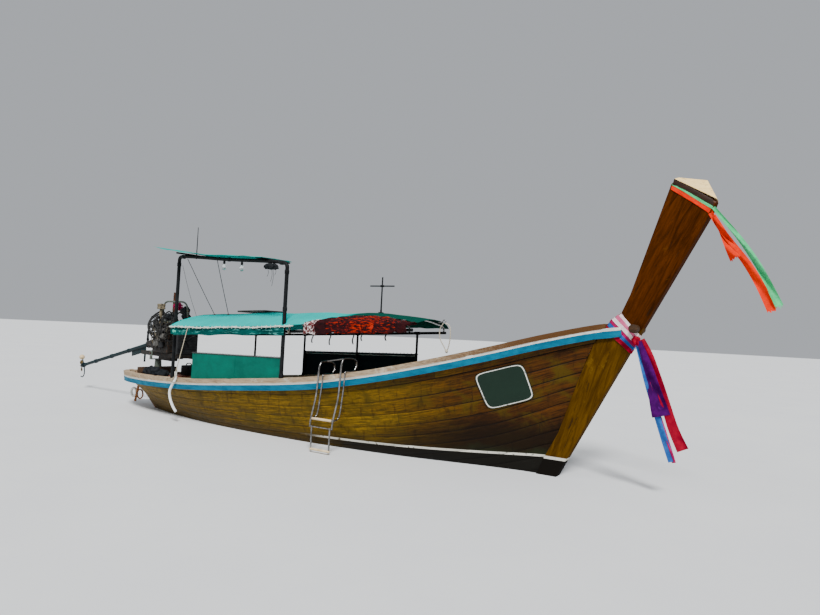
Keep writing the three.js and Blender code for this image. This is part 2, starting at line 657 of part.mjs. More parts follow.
// The tall pipe frame
const foreLeg = rod([TALL.fore[0], TALL.fore[1], capTop(TALL.fore[0]) - 20],
  [TALL.fore[0], TALL.fore[1], TALL.fore[2] - TALL.corner], TALL_R, TALL_R, 12);
add('tall_leg_aft', cut(aftLeg, ...capTrims), FINISH.blackPipe);
add('tall_leg_fore', cut(foreLeg, ...capTrims), FINISH.blackPipe);
const [aftX, aftY, aftZ] = TALL.aft;
const [foreX, foreY, foreZ] = TALL.fore;
const barAt = (x) => {
  const t = (x - aftX) / (foreX - aftX);
  return [x, lerp(aftY, foreY, t), lerp(aftZ, foreZ, t)];
};
const topBar = [tube([
  [aftX, aftY, aftZ - TALL.corner + GAP], [aftX, aftY, aftZ - TALL.corner * 0.5],
  [aftX + TALL.corner * 0.2, aftY, aftZ - TALL.corner * 0.14], barAt(aftX + TALL.corner * 0.6),
  barAt((aftX + foreX) / 2), barAt(foreX - TALL.corner * 0.6),
  [foreX - TALL.corner * 0.2, foreY, foreZ - TALL.corner * 0.14],
  [foreX, foreY, foreZ - TALL.corner * 0.5], [foreX, foreY, foreZ - TALL.corner + GAP]], TALL_R, 22, 12)];
const stickZ = (x) => barAt(x)[2] + TALL_R + STICKS.r - 3;
for (const x of STICKS.x.slice(1)) {
  topBar.push(rod([x, STICKS.y[0], stickZ(x)], [x, STICKS.y[1], stickZ(x)], STICKS.r));
}
const aerialFoot = barAt(AERIAL.x);
topBar.push(rod([aerialFoot[0], aerialFoot[1] - TALL_R - 4, aerialFoot[2] - 30],
  [aerialFoot[0], aerialFoot[1] - TALL_R - 4, aerialFoot[2] + AERIAL.high], AERIAL.r, AERIAL.r * 0.6, 8));
const tallTopBar = joined(...topBar);
add('tall_top_bar', tallTopBar, FINISH.blackPipe);

const aerialHole = rod([aerialFoot[0], aerialFoot[1] - TALL_R - 4, aerialFoot[2]],
  [aerialFoot[0], aerialFoot[1] - TALL_R - 4, aerialFoot[2] + AERIAL.high], AERIAL.r + 6, AERIAL.r + 6, 8);
add('upper_awning', seated(cut(bent(8, 4, (u, v, w) => {
  const x = lerp(...AWNING.ends, u);
  return [x, lerp(...AWNING.y, v), stickZ(x) + STICKS.r + 1 + w * AWNING.thick];
}), aerialHole), tallTopBar, DOWN), FINISH.turquoise);

const netAt = barAt(NET.x);
const net = bare(new THREE.SphereGeometry(1, 12, 8)).scale(NET.long / 2, NET.r, NET.r * 0.9);
net.translate(netAt[0], netAt[1], netAt[2] - TALL_R - NET.r);
add('net_bundle', seated(net, tallTopBar, UP), FINISH.blackPanel);

const mastZ = canopyZ(CROSS_MAST.x, 0) + 1;
add('cross_mast', seated(joined(
  rod([CROSS_MAST.x, 0, mastZ], [CROSS_MAST.x, 0, mastZ + 12], 45, 40, 12),
  rod([CROSS_MAST.x, 0, mastZ + 6], [CROSS_MAST.x, 0, mastZ + CROSS_MAST.high], CROSS_MAST.r),
  rod([CROSS_MAST.x - CROSS_MAST.arm, 0, mastZ + CROSS_MAST.armAt],
    [CROSS_MAST.x + CROSS_MAST.arm, 0, mastZ + CROSS_MAST.armAt], CROSS_MAST.r * 0.8)), canopyCloth, DOWN),
FINISH.blackPipe);
add('solar_panel', seated(bent(4, 1, (u, v, w) => {
  const x = lerp(...SOLAR.x, u);
  return [x, lerp(-SOLAR.half, SOLAR.half, v), canopyZ(x, 0) + 1 + w * SOLAR.thick];
}), canopyCloth, DOWN), FINISH.blackPanel);

// Engine beam on the stern deck, and the swivel on it
const deckTop = DECK.top + capTop(PIVOT[0]) - capTop(DECK.rear);
const beamBlock = seated(block(BEAM.x, [-BEAM.half, BEAM.half], [deckTop, deckTop + BEAM.high]), sternDeck, DOWN);
beamBlock.computeBoundingBox();
const beamTop = beamBlock.boundingBox.max.z;
add('engine_beam', cut(beamBlock, rod([PIVOT[0], 0, beamTop - 100], [PIVOT[0], 0, beamTop + 1],
  KING_PIN + 1.2, KING_PIN + 1.2, 16)), FINISH.darkWood);

const [pivotX, pivotY, pivotZ] = PIVOT;
swivel.position.set(pivotX, pivotY, pivotZ);
swivel.rotation.z = radians(REST_YAW);
const yokeFloor = FRAME.z[0] - 60;
const yoke = [
  rod([0, 0, beamTop - pivotZ - 99], [0, 0, yokeFloor], KING_PIN, KING_PIN, 16),
  rod([0, 0, beamTop - pivotZ + GAP], [0, 0, yokeFloor - 10], 70, 60, 16),
  block([-EAR.half, EAR.half], [-EAR.inner - EAR.thick, EAR.inner + EAR.thick], [yokeFloor - 18, yokeFloor]),
];
for (const side of [1, -1]) {
  yoke.push(block([-EAR.half, EAR.half],
    [Math.min(side * EAR.inner, side * (EAR.inner + EAR.thick)),
      Math.max(side * EAR.inner, side * (EAR.inner + EAR.thick))], [yokeFloor - 18, EAR.top]));
}
const pinLine = [[0, -EAR.inner - 40, 0], [0, EAR.inner + 40, 0]];
add('swivel_yoke', cut(joined(...yoke), rod(...pinLine, EAR.pin + 1, EAR.pin + 1, 16)),
  FINISH.greyGreen, swivel);

// Engine, all in the frame of its trunnion
engineUnit.position.set(pivotX, pivotY, pivotZ);
engineUnit.rotation.z = radians(REST_YAW);
const frameBars = [];
for (const side of [1, -1]) {
  const y = [side * FRAME.inner, side * FRAME.outer].sort((a, b) => a - b);
  frameBars.push(block(FRAME.x, y, FRAME.z));
  frameBars.push(rod([0, side * (FRAME.inner + 10), 0], [0, side * (EAR.inner + EAR.thick + 12), 0],
    EAR.pin, EAR.pin, 16));
}
for (const x of [FRAME.x[0], 760, FRAME.x[1] - 60]) {
  frameBars.push(block([x, x + 60], [-FRAME.outer + 5, FRAME.outer - 5], [FRAME.z[0] + 10, FRAME.z[1] - 4]));
}
add('engine_frame', joined(...frameBars), FINISH.castIron, engineUnit);
const frameTop = FRAME.z[1] + GAP;
add('engine_block', joined(
  block(BLOCK.x, [-BLOCK.half, BLOCK.half], [frameTop, BLOCK.top]),
  block([BLOCK.x[0] + 60, BLOCK.x[1] - 60], [-FRAME.inner + 8, FRAME.inner - 8], [-120, frameTop + 10])),
FINISH.castIron, engineUnit);
add('cylinder_head', block(HEAD.x, [-HEAD.half, HEAD.half], [BLOCK.top + GAP, HEAD.top]),
  FINISH.castIron, engineUnit);
add('gearbox', joined(
  rod([BLOCK.x[0] - GAP, 0, CRANK_Z], [-60, 0, CRANK_Z], 150, 140, 14),
  rod([-50, 0, CRANK_Z], [TAIL_ROOT[0] + 12, 0, TAIL_ROOT[2] + 4], 118, 68, 14)), FINISH.castIron, engineUnit);
add('exhaust', joined(
  block([120, 640], [BLOCK.half + GAP, BLOCK.half + 58], [330, 398]),
  tube([[400, BLOCK.half + 30, 380], [390, BLOCK.half + 30, 520], [230, BLOCK.half, 660],
    [200, BLOCK.half - 20, 800], [200, BLOCK.half - 20, 1230]], 27, 16)), FINISH.rust, engineUnit);
add('air_filter', joined(
  rod([190, -100, HEAD.top + GAP], [190, -100, 900], 30, 30),
  rod([190, -100, 880], [190, -100, 985], 78, 78, 14)), FINISH.cream, engineUnit);
add('cooling_tank', block(TANK.x, [-TANK.half, TANK.half], [frameTop, TANK.top]), FINISH.blackPanel, engineUnit);
const guardLoop = tube([[118, 0, HEAD.top + GAP], [118, 0, 660], [84, 0, 900], [120, 0, 990], [200, 0, 1030],
  [520, 0, 1036], [860, 0, 1028], [970, 0, 985], [1030, 0, 900], [1042, 0, 600], [1042, 0, TANK.top + GAP]],
17, 24);
add('guard_loop', guardLoop, FINISH.greyGreen, engineUnit);
const garland = bare(new THREE.SphereGeometry(1, 12, 8)).scale(115, 75, 80).translate(660, 0, 930);
add('garland', seated(garland, guardLoop, UP), FINISH.pinkCloth, engineUnit);
add('tiller', tube([[TANK.x[1] + 0.9, -60, 300], [1180, -60, 302], [1270, -60, 335], [1400, -60, 385], [1530, -60, 405]], 16, 10),
  FINISH.blackPipe, engineUnit);
add('riser_pipe', tube([[-505, 0, 187.5], [-505, 0, 400], [-470, 0, 480], [-390, 0, 530], [-60, 0, 545],
  [HEAD.x[0] - 0.8, 0, 545]], 21, 18), FINISH.blackPipe, engineUnit);

// The long tail: its own x axis runs back along the shaft
const tail = new THREE.Group();
tail.position.set(...TAIL_ROOT);
tail.rotation.y = radians(-TAIL_SLOPE);
engineUnit.add(tail);
add('tail_tube', joined(
  rod([0, 0, 0], [-TAIL_LENGTH, 0, 0], TAIL_R, TAIL_R * 0.84, 12),
  rod([-1, 0, 0], [-30, 0, 0], 75, 75, 14),
  block([-800, -230], [-5, 5], [-TAIL_R - 95, 0]),
  rod([-170, 0, -10], [-240, 0, -330], 19, 19)), FINISH.blackPipe, tail);
const tailEnd = -TAIL_LENGTH;
const collarHole = rod([0, 0, 0], [tailEnd, 0, 0], TAIL_R + GAP, TAIL_R * 0.84 + GAP, 12);
add('tail_skeg', cut(joined(
  rod([tailEnd + 95, 0, 0], [tailEnd + 2, 0, 0], 52, 52, 14),
  tube([[tailEnd + 80, 0, -46], [tailEnd + 75, 0, -200], [tailEnd - 20, 0, -275],
    [tailEnd - 130, 0, -250]], 12, 12),
  rod([tailEnd + 40, 0, 45], [tailEnd - 30, 0, 190], 12, 12),
  bare(new THREE.SphereGeometry(60, 12, 8)).translate(tailEnd - 40, 0, 212)), collarHole),
FINISH.cream, tail);

const blades = [rod([tailEnd - GAP, 0, 0], [-PROP.at - PROP.long / 2, 0, 0], PROP.hub, PROP.hub * 0.6, 12)];
for (const turn of [0, Math.PI]) {
  const blade = bent(5, 3, (u, v, w) => {
    const r = lerp(20, PROP.reach, u);
    const wide = PROP.wide * Math.sin(Math.PI * (0.16 + 0.74 * u));
    const pitch = lerp(1.05, 0.5, u);
    const c = (v - 0.5) * wide;
    return [-PROP.at + c * Math.sin(pitch) + (w - 0.5) * 7 * Math.cos(pitch),
      c * Math.cos(pitch) - (w - 0.5) * 7 * Math.sin(pitch), r];
  });
  blades.push(blade.rotateX(turn));
}
add('propeller', joined(...blades), FINISH.bronze, tail);

// Boarding ladder, hooked over the starboard gunwale, and its folding step
const ladderTubes = [];
for (const x of LADDER.x) {
  const hookTop = capTop(x) + 185;
  ladderTubes.push(tube([[x + 20, -745, hookTop - 130], [x + 18, -760, hookTop - 40], [x + 12, -810, hookTop],
    [x + 6, -920, hookTop + 14], [x, -1030, hookTop + 6], [x, -1070, hookTop - 50], [x, LADDER.y, hookTop - 150],
    [x + LADDER.lean * 0.3, LADDER.y, 800], [x + LADDER.lean, LADDER.y - 20, 470],
    [x + LADDER.lean, LADDER.hinge[0], LADDER.hinge[1] - 10]], TUBE_R, 18));
  const onCap = capTop(x) + TUBE_R;
  ladderTubes.push(tube([[x + 18, -756, hookTop - 100], [x + 16, -800, onCap + 8], [x + 14, -880, onCap],
    [x + 14, LADDER.standoff + 52, onCap], [x + 14, LADDER.standoff + 12, onCap + 2],
    [x + 12, LADDER.standoff - 5, onCap - 12], [x + 10, LADDER.standoff - 3, onCap - 60],
    [x + LADDER.lean * 0.3 + 8, LADDER.standoff, 800], [x + LADDER.lean + 20, LADDER.standoff - 16, 500],
    [x + LADDER.lean + 4, LADDER.y - 12, 470]], TUBE_R * 0.85, 18));
}
const rungY = LADDER.y - 20;
ladderTubes.push(rod([LADDER.x[0] + LADDER.lean, rungY, 470], [LADDER.x[1] + LADDER.lean, rungY, 470], RUNG_R));
ladderTubes.push(rod([LADDER.x[0] + 6, -920, capTop(LADDER.x[0]) + 204],
  [LADDER.x[1] + 6, -920, capTop(LADDER.x[1]) + 204], TUBE_R * 0.8));
const ladder = joined(...ladderTubes);
const ladderDrop = restDistance(ladder, cap(-1, 0), DOWN);
add('ladder', shifted(ladder, DOWN, ladderDrop), FINISH.steel);

const [hingeY, hingeZ] = LADDER.hinge;
const step = [];
const stepX = [LADDER.x[0] + LADDER.lean + 34, LADDER.x[1] + LADDER.lean - 34];
for (const x of stepX) {
  step.push(rod([x, hingeY, hingeZ + 12], [x, hingeY, 45], TUBE_R * 0.9));
}
step.push(rod([stepX[0] - 20.5, hingeY, hingeZ], [stepX[1] + 20.5, hingeY, hingeZ], 8));
step.push(rod([stepX[0] - 12, hingeY, 45], [stepX[1] + 12, hingeY, 45], RUNG_R));
add('ladder_step', shifted(joined(...step), DOWN, ladderDrop), FINISH.steel);

// Rusty bracket with its rings at the stern
const RINGS = [[-4925, 0, 235], [-4717, 0, 215]];
const bracket = [tube([[-4765, 0, 430], [-4790, 0, 360], [-4820, 0, 220], [-4865, 0, 60]], 24, 10)];
for (const [x, y, z] of RINGS) {
  bracket.push(bare(new THREE.TorusGeometry(92, 15, 6, 16)).rotateX(Math.PI / 2).translate(x, y, z));
}
add('stern_bracket', seated(joined(...bracket), sternBody, FORWARD), FINISH.rust);

// Sash round the stem, head wrap, and their tails
function stemBand(low, high, slope, proud) {
  const outer = stemBody.clone().scale(1, 1 + proud / 88, 1);
  const fore = outer.clone().translate(proud, 0, proud * 0.4);
  const aft = outer.clone().translate(-proud, 0, -proud * 0.4);
  const slab = plate([[4300, low + slope * 900], [6100, low - slope * 900], [6100, high - slope * 900],
    [4300, high + slope * 900]], [-400, 400]);
  const clear = stemBody.clone().scale(1, 1.004, 1);
  const around = toSolid(outer).add(toSolid(fore)).add(toSolid(aft)).intersect(toSolid(slab));
  return around.subtract(toSolid(clear)).subtract(toSolid(clear.clone().translate(0.4, 0, 0)))
    .subtract(toSolid(clear.clone().translate(-0.4, 0, 0)));
}

const sashKnot = bare(new THREE.SphereGeometry(62, 12, 8)).scale(1, 0.8, 1).translate(5040, -122, 1795);
const logClear = rod([LOG.x, -LOG.half - 9, LOG.z], [LOG.x, LOG.half + 9, LOG.z], LOG.r + 1);
const sash = stemBand(1525, 1690, 1.43, 16).add(toSolid(sashKnot))
  .subtract(toSolid(stemBody.clone().scale(1, 1.006, 1))).subtract(toSolid(logClear));
const sashWrap = fromSolid(sash);
const headWrap = fromSolid(stemBand(3700, 3850, 0.56, 10));
add('sash_wrap', sashWrap, FINISH.pinkCloth);
add('head_wrap', headWrap, FINISH.orangeCloth);

function streamer(points, width, thick, steps) {
  const path = new THREE.CatmullRomCurve3(points.map((p) => new THREE.Vector3(...p)), false, 'centripetal');
  return bent(steps, 1, (u, v, w) => {
    const at = path.getPointAt(u);
    const run = path.getTangentAt(u);
    const across = new THREE.Vector3(run.z, 0, -run.x).normalize();
    return [at.x + across.x * (v - 0.5) * width(u), at.y + (w - 0.5) * thick,
      at.z + across.z * (v - 0.5) * width(u)];
  });
}
const TO_KNOT = [-0.55, 0.5, 0.67];
add('sash_tails', seated(streamer([[5095, -175, 1745], [5180, -200, 1500], [5270, -205, 1180], [5370, -200, 850],
  [5480, -190, 480]], (u) => 70 + 70 * u, 14, 12), sashWrap, TO_KNOT), FINISH.purpleCloth);
add('head_tail', seated(streamer([[5835, -122, 3330], [5960, -130, 3120], [6130, -130, 2870], [6300, -125, 2640],
  [6430, -120, 2400], [6530, -120, 2190]], (u) => 120 + 30 * Math.sin(Math.PI * u), 14, 14),
joined(stemBody, headWrap), TO_PORT), FINISH.orangeCloth);

// White hose hanging outside the gunwale
const HOSE_R = 22;
add('side_hose', seated(tube([[-2420, -912, 870], [-2425, -912, 745], [-2452, -925, 680], [-2490, -938, 600],
  [-2515, -944, 520], [-2505, -940, 430], [-2465, -935, 340], [-2410, -930, 260], [-2350, -920, 190]],
HOSE_R, 16), cap(-1, 0), TO_PORT), FINISH.whiteHose);

boat.add(swivel);
boat.add(engineUnit);
export default boat;
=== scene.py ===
"""Dresses a wooden longtail boat, afloat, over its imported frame. Metres, +X the bow, +Y port, +Z up."""
import logging
import math
import random
from dataclasses import dataclass
from enum import Enum
from functools import lru_cache
from typing import Callable, Sequence

import bmesh
import bpy
from bpy.types import Material, Node, NodeSocket, Object
from mathutils import Matrix, Vector, noise


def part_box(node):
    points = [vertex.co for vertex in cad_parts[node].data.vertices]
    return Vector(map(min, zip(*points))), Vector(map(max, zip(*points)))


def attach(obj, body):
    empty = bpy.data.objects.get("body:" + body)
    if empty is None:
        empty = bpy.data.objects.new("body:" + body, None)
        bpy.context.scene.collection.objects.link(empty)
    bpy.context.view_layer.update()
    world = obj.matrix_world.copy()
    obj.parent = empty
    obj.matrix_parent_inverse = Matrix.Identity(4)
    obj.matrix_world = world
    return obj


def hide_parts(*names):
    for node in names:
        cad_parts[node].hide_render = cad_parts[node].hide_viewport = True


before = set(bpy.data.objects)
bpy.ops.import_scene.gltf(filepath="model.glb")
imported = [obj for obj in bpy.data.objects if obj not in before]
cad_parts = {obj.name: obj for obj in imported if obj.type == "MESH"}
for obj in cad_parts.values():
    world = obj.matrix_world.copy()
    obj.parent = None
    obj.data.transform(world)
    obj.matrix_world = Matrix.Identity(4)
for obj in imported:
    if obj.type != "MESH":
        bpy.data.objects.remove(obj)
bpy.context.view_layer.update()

LOG = logging.getLogger("longtail_boat")

Point = Sequence[float]
Pair = tuple[float, float]
Triple = tuple[float, float, float]
Row = tuple[float, ...]
Colour = Triple
Shape = bmesh.types.BMesh

FACES_ROUND = 28


class Body(Enum):
    """The bodies of the frame that a piece can ride on."""

    BOAT = "boat"
    SWIVEL = "swivel"
    ENGINE = "engine_unit"
    PROPELLER = "propeller"
    STEP = "ladder_step"


class Space(Enum):
    """What a pattern's coordinates follow."""

    OBJECT = "Object"
    SURFACE = "UV"


class Side(Enum):
    """The two sides of the boat, as the sign of Y."""

    PORT = 1
    STARBOARD = -1


# ---------------------------------------------------------------- numbers and lines


def lerp(a: float, b: float, t: float) -> float:
    """Returns the number a share t of the way from a to b."""
    return a + (b - a) * t


def smooth_step(low: float, high: float, x: float) -> float:
    """Returns 0 below low and 1 above high, with an easy rise between them."""
    t = min(max((x - low) / (high - low), 0.0), 1.0)
    return t * t * (3 - 2 * t)


def along(xs: Sequence[float], ys: Sequence[float], x: float) -> float:
    """Reads a smooth line through a short table.

    Args:
        xs: The places, rising.
        ys: The values there.
        x: Where to read.

    Returns:
        The value, held level past the ends.
    """
    last = len(xs) - 1
    at = min(max(x, xs[0]), xs[last])
    i = 0
    while i < last - 1 and at > xs[i + 1]:
        i += 1

    def slope(k: int) -> float:
        """Returns the slope of span k."""
        return (ys[k + 1] - ys[k]) / (xs[k + 1] - xs[k])

    def tangent(k: int) -> float:
        """Returns the slope at place k that keeps the line from overshooting."""
        if k in (0, last):
            return slope(0 if k == 0 else last - 1)
        before, after = slope(k - 1), slope(k)
        return 0.0 if before * after <= 0 else 2 * before * after / (before + after)

    span = xs[i + 1] - xs[i]
    t = (at - xs[i]) / span
    rise = t * t * (3 - 2 * t)
    ends = tangent(i) * (1 - t) - tangent(i + 1) * t
    return ys[i] * (1 - rise) + ys[i + 1] * rise + span * t * (1 - t) * ends


def spline(points: Sequence[Point], steps: int) -> list[Vector]:
    """Spreads points evenly along a smooth curve.

    Args:
        points: What the curve passes through.
        steps: How many stretches to divide it into.

    Returns:
        The points along it, one more than steps.
    """
    knots = [Vector(p) for p in points]
    knots = [2 * knots[0] - knots[1], *knots, 2 * knots[-1] - knots[-2]]
    dense: list[Vector] = []
    for i in range(1, len(knots) - 2):
        a, b, c, d = knots[i - 1:i + 3]
        before, here, after = (max((q - p).length ** 0.5, 1e-4) for p, q in ((a, b), (b, c), (c, d)))
        leave = ((b - a) / before - (c - a) / (before + here) + (c - b) / here) * here
        arrive = ((c - b) / here - (d - b) / (here + after) + (d - c) / after) * here
        for k in range(16):
            t = k / 16
            dense.append(b + leave * t + (3 * (c - b) - 2 * leave - arrive) * t * t
                + (2 * (b - c) + leave + arrive) * t ** 3)
    dense.append(knots[-2])
    reach = [0.0]
    for p, q in zip(dense, dense[1:]):
        reach.append(reach[-1] + (q - p).length)
    spread, k = [], 0
    for i in range(steps + 1):
        want = reach[-1] * i / steps
        while k < len(reach) - 2 and reach[k + 1] < want:
            k += 1
        share = (want - reach[k]) / max(reach[k + 1] - reach[k], 1e-9)
        spread.append(dense[k].lerp(dense[k + 1], min(share, 1.0)))
    return spread


def line_length(path: Sequence[Vector]) -> float:
    """Returns the length of a line through points."""
    return sum((q - p).length for p, q in zip(path, path[1:]))


def ripple(x: float, y: float, z: float, size: float) -> float:
    """Returns a smooth random value from -1 to 1 that repeats from run to run."""
    return noise.noise(Vector((x, y, z)) / size)


def angles(count: int) -> list[float]:
    """Returns that many angles, evenly round a circle."""
    return [k * 2 * math.pi / count for k in range(count)]


def patch(corners: Sequence[Point], u: float, v: float) -> list[float]:
    """Returns a point of a four-cornered patch, given the two ends of its low edge and of its high edge."""
    return [lerp(lerp(a, b, u), lerp(c, d, u), v) for a, b, c, d in zip(*corners)]


# ---------------------------------------------------------------- shapes


def sheet_shape(columns: int, rows: int, place: Callable[[float, float], Point],
        pattern: Callable[[float, float], Pair] | None = None) -> Shape:
    """Bends a flat grid.

    Args:
        columns: Steps along u.
        rows: Steps along v.
        place: Where the point (u, v) goes, each from 0 to 1.
        pattern: The UV of the point, or None for (u, v) itself.

    Returns:
        The open sheet.
    """
    shape = bmesh.new()
    layer = shape.loops.layers.uv.new("UVMap")
    bmesh.ops.create_grid(shape, x_segments=columns, y_segments=rows, size=0.5)
    for face in shape.faces:
        for loop in face.loops:
            u, v = loop.vert.co.x + 0.5, loop.vert.co.y + 0.5
            loop[layer].uv = pattern(u, v) if pattern else (u, v)
    for vert in shape.verts:
        vert.co = Vector(place(vert.co.x + 0.5, vert.co.y + 0.5))
    return shape


def merge(shape: Shape, near: float = 1e-6) -> None:
    """Joins the points of a shape that lie closer together than that."""
    bmesh.ops.remove_doubles(shape, verts=shape.verts[:], dist=near)


def open_area(shape: Shape) -> float:
    """Returns the area of an open sheet."""
    return sum(face.calc_area() for face in shape.faces)


def thickened(shape: Shape, thick: float) -> Shape:
    """Gives an open sheet a wall, inwards from the face it has.

    Args:
        shape: The sheet.
        thick: The wall's thickness.

    Returns:
        The same shape, closed.
    """
    bmesh.ops.recalc_face_normals(shape, faces=shape.faces[:])
    bmesh.ops.solidify(shape, geom=shape.faces[:], thickness=thick)
    return shape


def tube(path: Sequence[Vector], radius: float | Callable[[float], float], sides: int = 14,
        squash: float = 1.0) -> Shape:
    """Sweeps a round or flattened pipe along a line.

    Args:
        path: The centre line.
        radius: The radius, or a function of the share of the way along.
        sides: Faces round the pipe.
        squash: Height over width of the section.

    Returns:
        The closed pipe, with metres along and round it as its UV.
    """
    count = len(path) - 1
    runs = [(path[min(i + 1, count)] - path[max(i - 1, 0)]).normalized() for i in range(count + 1)]
    across = [runs[0].orthogonal().normalized()]
    for before, after in zip(runs, runs[1:]):
        moved = before.rotation_difference(after) @ across[-1]
        across.append((moved - after * moved.dot(after)).normalized())
    size = radius if callable(radius) else (lambda share: radius)
    reach = line_length(path)

    def place(u: float, v: float) -> Vector:
        """Returns the point at a share of the line and of the turn."""
        i = round(u * count)
        turn = 2 * math.pi * v
        up = runs[i].cross(across[i])
        return path[i] + (across[i] * math.cos(turn) + up * math.sin(turn) * squash) * size(u)

    shape = sheet_shape(count, sides, place, lambda u, v: (u * reach, v * 2 * math.pi * size(0.5)))
    merge(shape)
    bmesh.ops.holes_fill(shape, edges=[e for e in shape.edges if e.is_boundary], sides=0)
    return shape


def pipe(points: Sequence[Point], steps: int, radius: float | Callable[[float], float], sides: int = 14) -> Shape:
    """Returns a round pipe along the smooth curve through some points."""
    return tube(spline(points, steps), radius, sides)


def loop_tube(path: Sequence[Vector], radius: float, sides: int = 10) -> Shape:
    """Returns a pipe whose line closes on itself, given its points without the repeated one."""
    middle = sum(path, Vector()) / len(path)
    count = len(path)

    def place(u: float, v: float) -> Vector:
        """Returns the point at a share of the ring and of the turn."""
        i = round(u * count) % count
        run = (path[(i + 1) % count] - path[i - 1]).normalized()
        out = path[i] - middle
        out = (out - run * out.dot(run)).normalized()
        turn = 2 * math.pi * v
        return path[i] + (out * math.cos(turn) + run.cross(out) * math.sin(turn)) * radius

    shape = sheet_shape(count, sides, place, lambda u, v: (u * count * radius, v))
    merge(shape)
    return shape


def rod(start: Point, end: Point, radius: float, sides: int = 20, rim: float = 0.0,
        end_radius: float | None = None) -> Shape:
    """Makes a straight round bar.

    Args:
        start: One end's centre.
        end: The other end's centre.
        radius: The radius at start.
        sides: Faces round it.
        rim: How far its end edges are rounded.
        end_radius: The radius at end, or None for the same.

    Returns:
        The bar.
    """
    a, b = Vector(start), Vector(end)
    turn = (b - a).to_track_quat("Z", "Y").to_matrix().to_4x4()
    shape = bmesh.new()
    bmesh.ops.create_cone(shape, cap_ends=True, segments=sides, radius1=radius,
        radius2=radius if end_radius is None else end_radius, depth=(b - a).length,
        matrix=Matrix.Translation((a + b) / 2) @ turn)
    if rim:
        round_edges(shape, rim, 60)
    return shape


def round_edges(shape: Shape, width: float, angle: float = 30, segments: int = 2) -> Shape:
    """Rounds the edges of a shape that are sharper than an angle."""
    sharp = [e for e in shape.edges if len(e.link_faces) == 2 and e.calc_face_angle(0) > math.radians(angle)]
    bmesh.ops.bevel(shape, geom=sharp, offset=width, offset_type="OFFSET", segments=segments, profile=0.5,
        affect="EDGES", clamp_overlap=True, material=-1)
    return shape


def bar(low: Point, high: Point, rounding: float = 0.004) -> Shape:
    """Returns a block between two corners, with rounded edges."""
    shape = bmesh.new()
    bmesh.ops.create_cube(shape, size=1)
    size = Vector(high) - Vector(low)
    middle = (Vector(high) + Vector(low)) / 2
    bmesh.ops.transform(shape, matrix=Matrix.Translation(middle) @ Matrix.Diagonal((*size, 1)),
        verts=shape.verts[:])
    return round_edges(shape, rounding) if rounding else shape


def ribs(low: Point, high: Point, step: Point, count: int, rounding: float) -> list[Shape]:
    """Returns blocks that repeat at a step, given the corners of the first."""
    return [bar([a + s * k for a, s in zip(low, step)], [a + s * k for a, s in zip(high, step)], rounding)
        for k in range(count)]


def bent_bar(steps: tuple[int, int, int], place: Callable[[float, float, float], Point],
        rounding: float = 0.0) -> Shape:
    """Bends a block.

    Args:
        steps: How often it is divided along each of its three ways.
        place: Where the point (u, v, w) goes, each from 0 to 1.
        rounding: How far its long edges are rounded.

    Returns:
        The closed block.
    """
    shape = bmesh.new()
    bmesh.ops.create_cube(shape, size=1)
    for axis, count in enumerate(steps):
        if count > 1:
            edges = [e for e in shape.edges if abs(e.verts[0].co[axis] - e.verts[1].co[axis]) > 0.9]
            bmesh.ops.subdivide_edges(shape, edges=edges, cuts=count - 1, use_grid_fill=True)
    corners = [e for e in shape.edges if len(e.link_faces) == 2 and e.calc_face_angle(0) > 1.2]
    for vert in shape.verts:
        vert.co = Vector(place(*(c + 0.5 for c in vert.co)))
    if rounding:
        bmesh.ops.bevel(shape, geom=corners, offset=rounding, offset_type="OFFSET", segments=2, profile=0.5,
            affect="EDGES", clamp_overlap=True, material=-1)
    return shape


def turned(profile: Sequence[Pair], start: Point, end: Point) -> Shape:
    """Turns a profile about a line.

    Args:
        profile: Pairs of radius and distance from start, from one end to the other.
        start: Where the line starts.
        end: A point that the line runs towards.

    Returns:
        The turned piece, closed where the profile meets the line.
    """
    shape = bmesh.new()
    verts = [shape.verts.new((r, 0, z)) for r, z in profile]
    edges = [shape.edges.new(pair) for pair in zip(verts, verts[1:])]
    bmesh.ops.spin(shape, geom=verts + edges, cent=(0, 0, 0), axis=(0, 0, 1), angle=2 * math.pi, steps=FACES_ROUND,
        use_merge=True)
    merge(shape, 1e-5)
    run = Vector(end) - Vector(start)
    place = Matrix.Translation(Vector(start)) @ run.to_track_quat("Z", "Y").to_matrix().to_4x4()
    bmesh.ops.transform(shape, matrix=place, verts=shape.verts[:])
    return shape


def ball(centre: Point, sizes: Point, detail: int = 3, lumps: float = 0.0, lump_size: float = 0.05) -> Shape:
    """Makes a rounded, lumpy body.

    Args:
        centre: Its middle.
        sizes: Its three half sizes.
        detail: How finely it is divided.
        lumps: How far its surface stands in and out.
        lump_size: How wide each lump is.

    Returns:
        The closed body.
    """
    shape = bmesh.new()
    bmesh.ops.create_icosphere(shape, subdivisions=detail, radius=1)
    for vert in shape.verts:
        out = vert.co.copy()
        vert.co = Vector(centre) + Vector(c * s for c, s in zip(vert.co, sizes))
        vert.co += out * lumps * ripple(*vert.co, lump_size)
    return shape


def gathered(*shapes: Shape) -> Shape:
    """Returns one shape made of several, which it frees."""
    whole = bmesh.new()
    layer_name = "UVMap"
    whole.loops.layers.uv.new(layer_name)
    for shape in shapes:
        if not shape.loops.layers.uv:
            shape.loops.layers.uv.new(layer_name)
        bmesh.ops.recalc_face_normals(shape, faces=shape.faces[:])
        mesh = bpy.data.meshes.new("part")
        shape.to_mesh(mesh)
        shape.free()
        whole.from_mesh(mesh)
        bpy.data.meshes.remove(mesh)
    return whole


def moved(shape: Shape, matrix: Matrix) -> Shape:
    """Returns the shape after a transform."""
    bmesh.ops.transform(shape, matrix=matrix, verts=shape.verts[:])
    return shape


@lru_cache(maxsize=None)
def node_box(node: str) -> tuple[Vector, Vector]:
    """Returns the low and high corner of a CAD node."""
    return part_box(node)


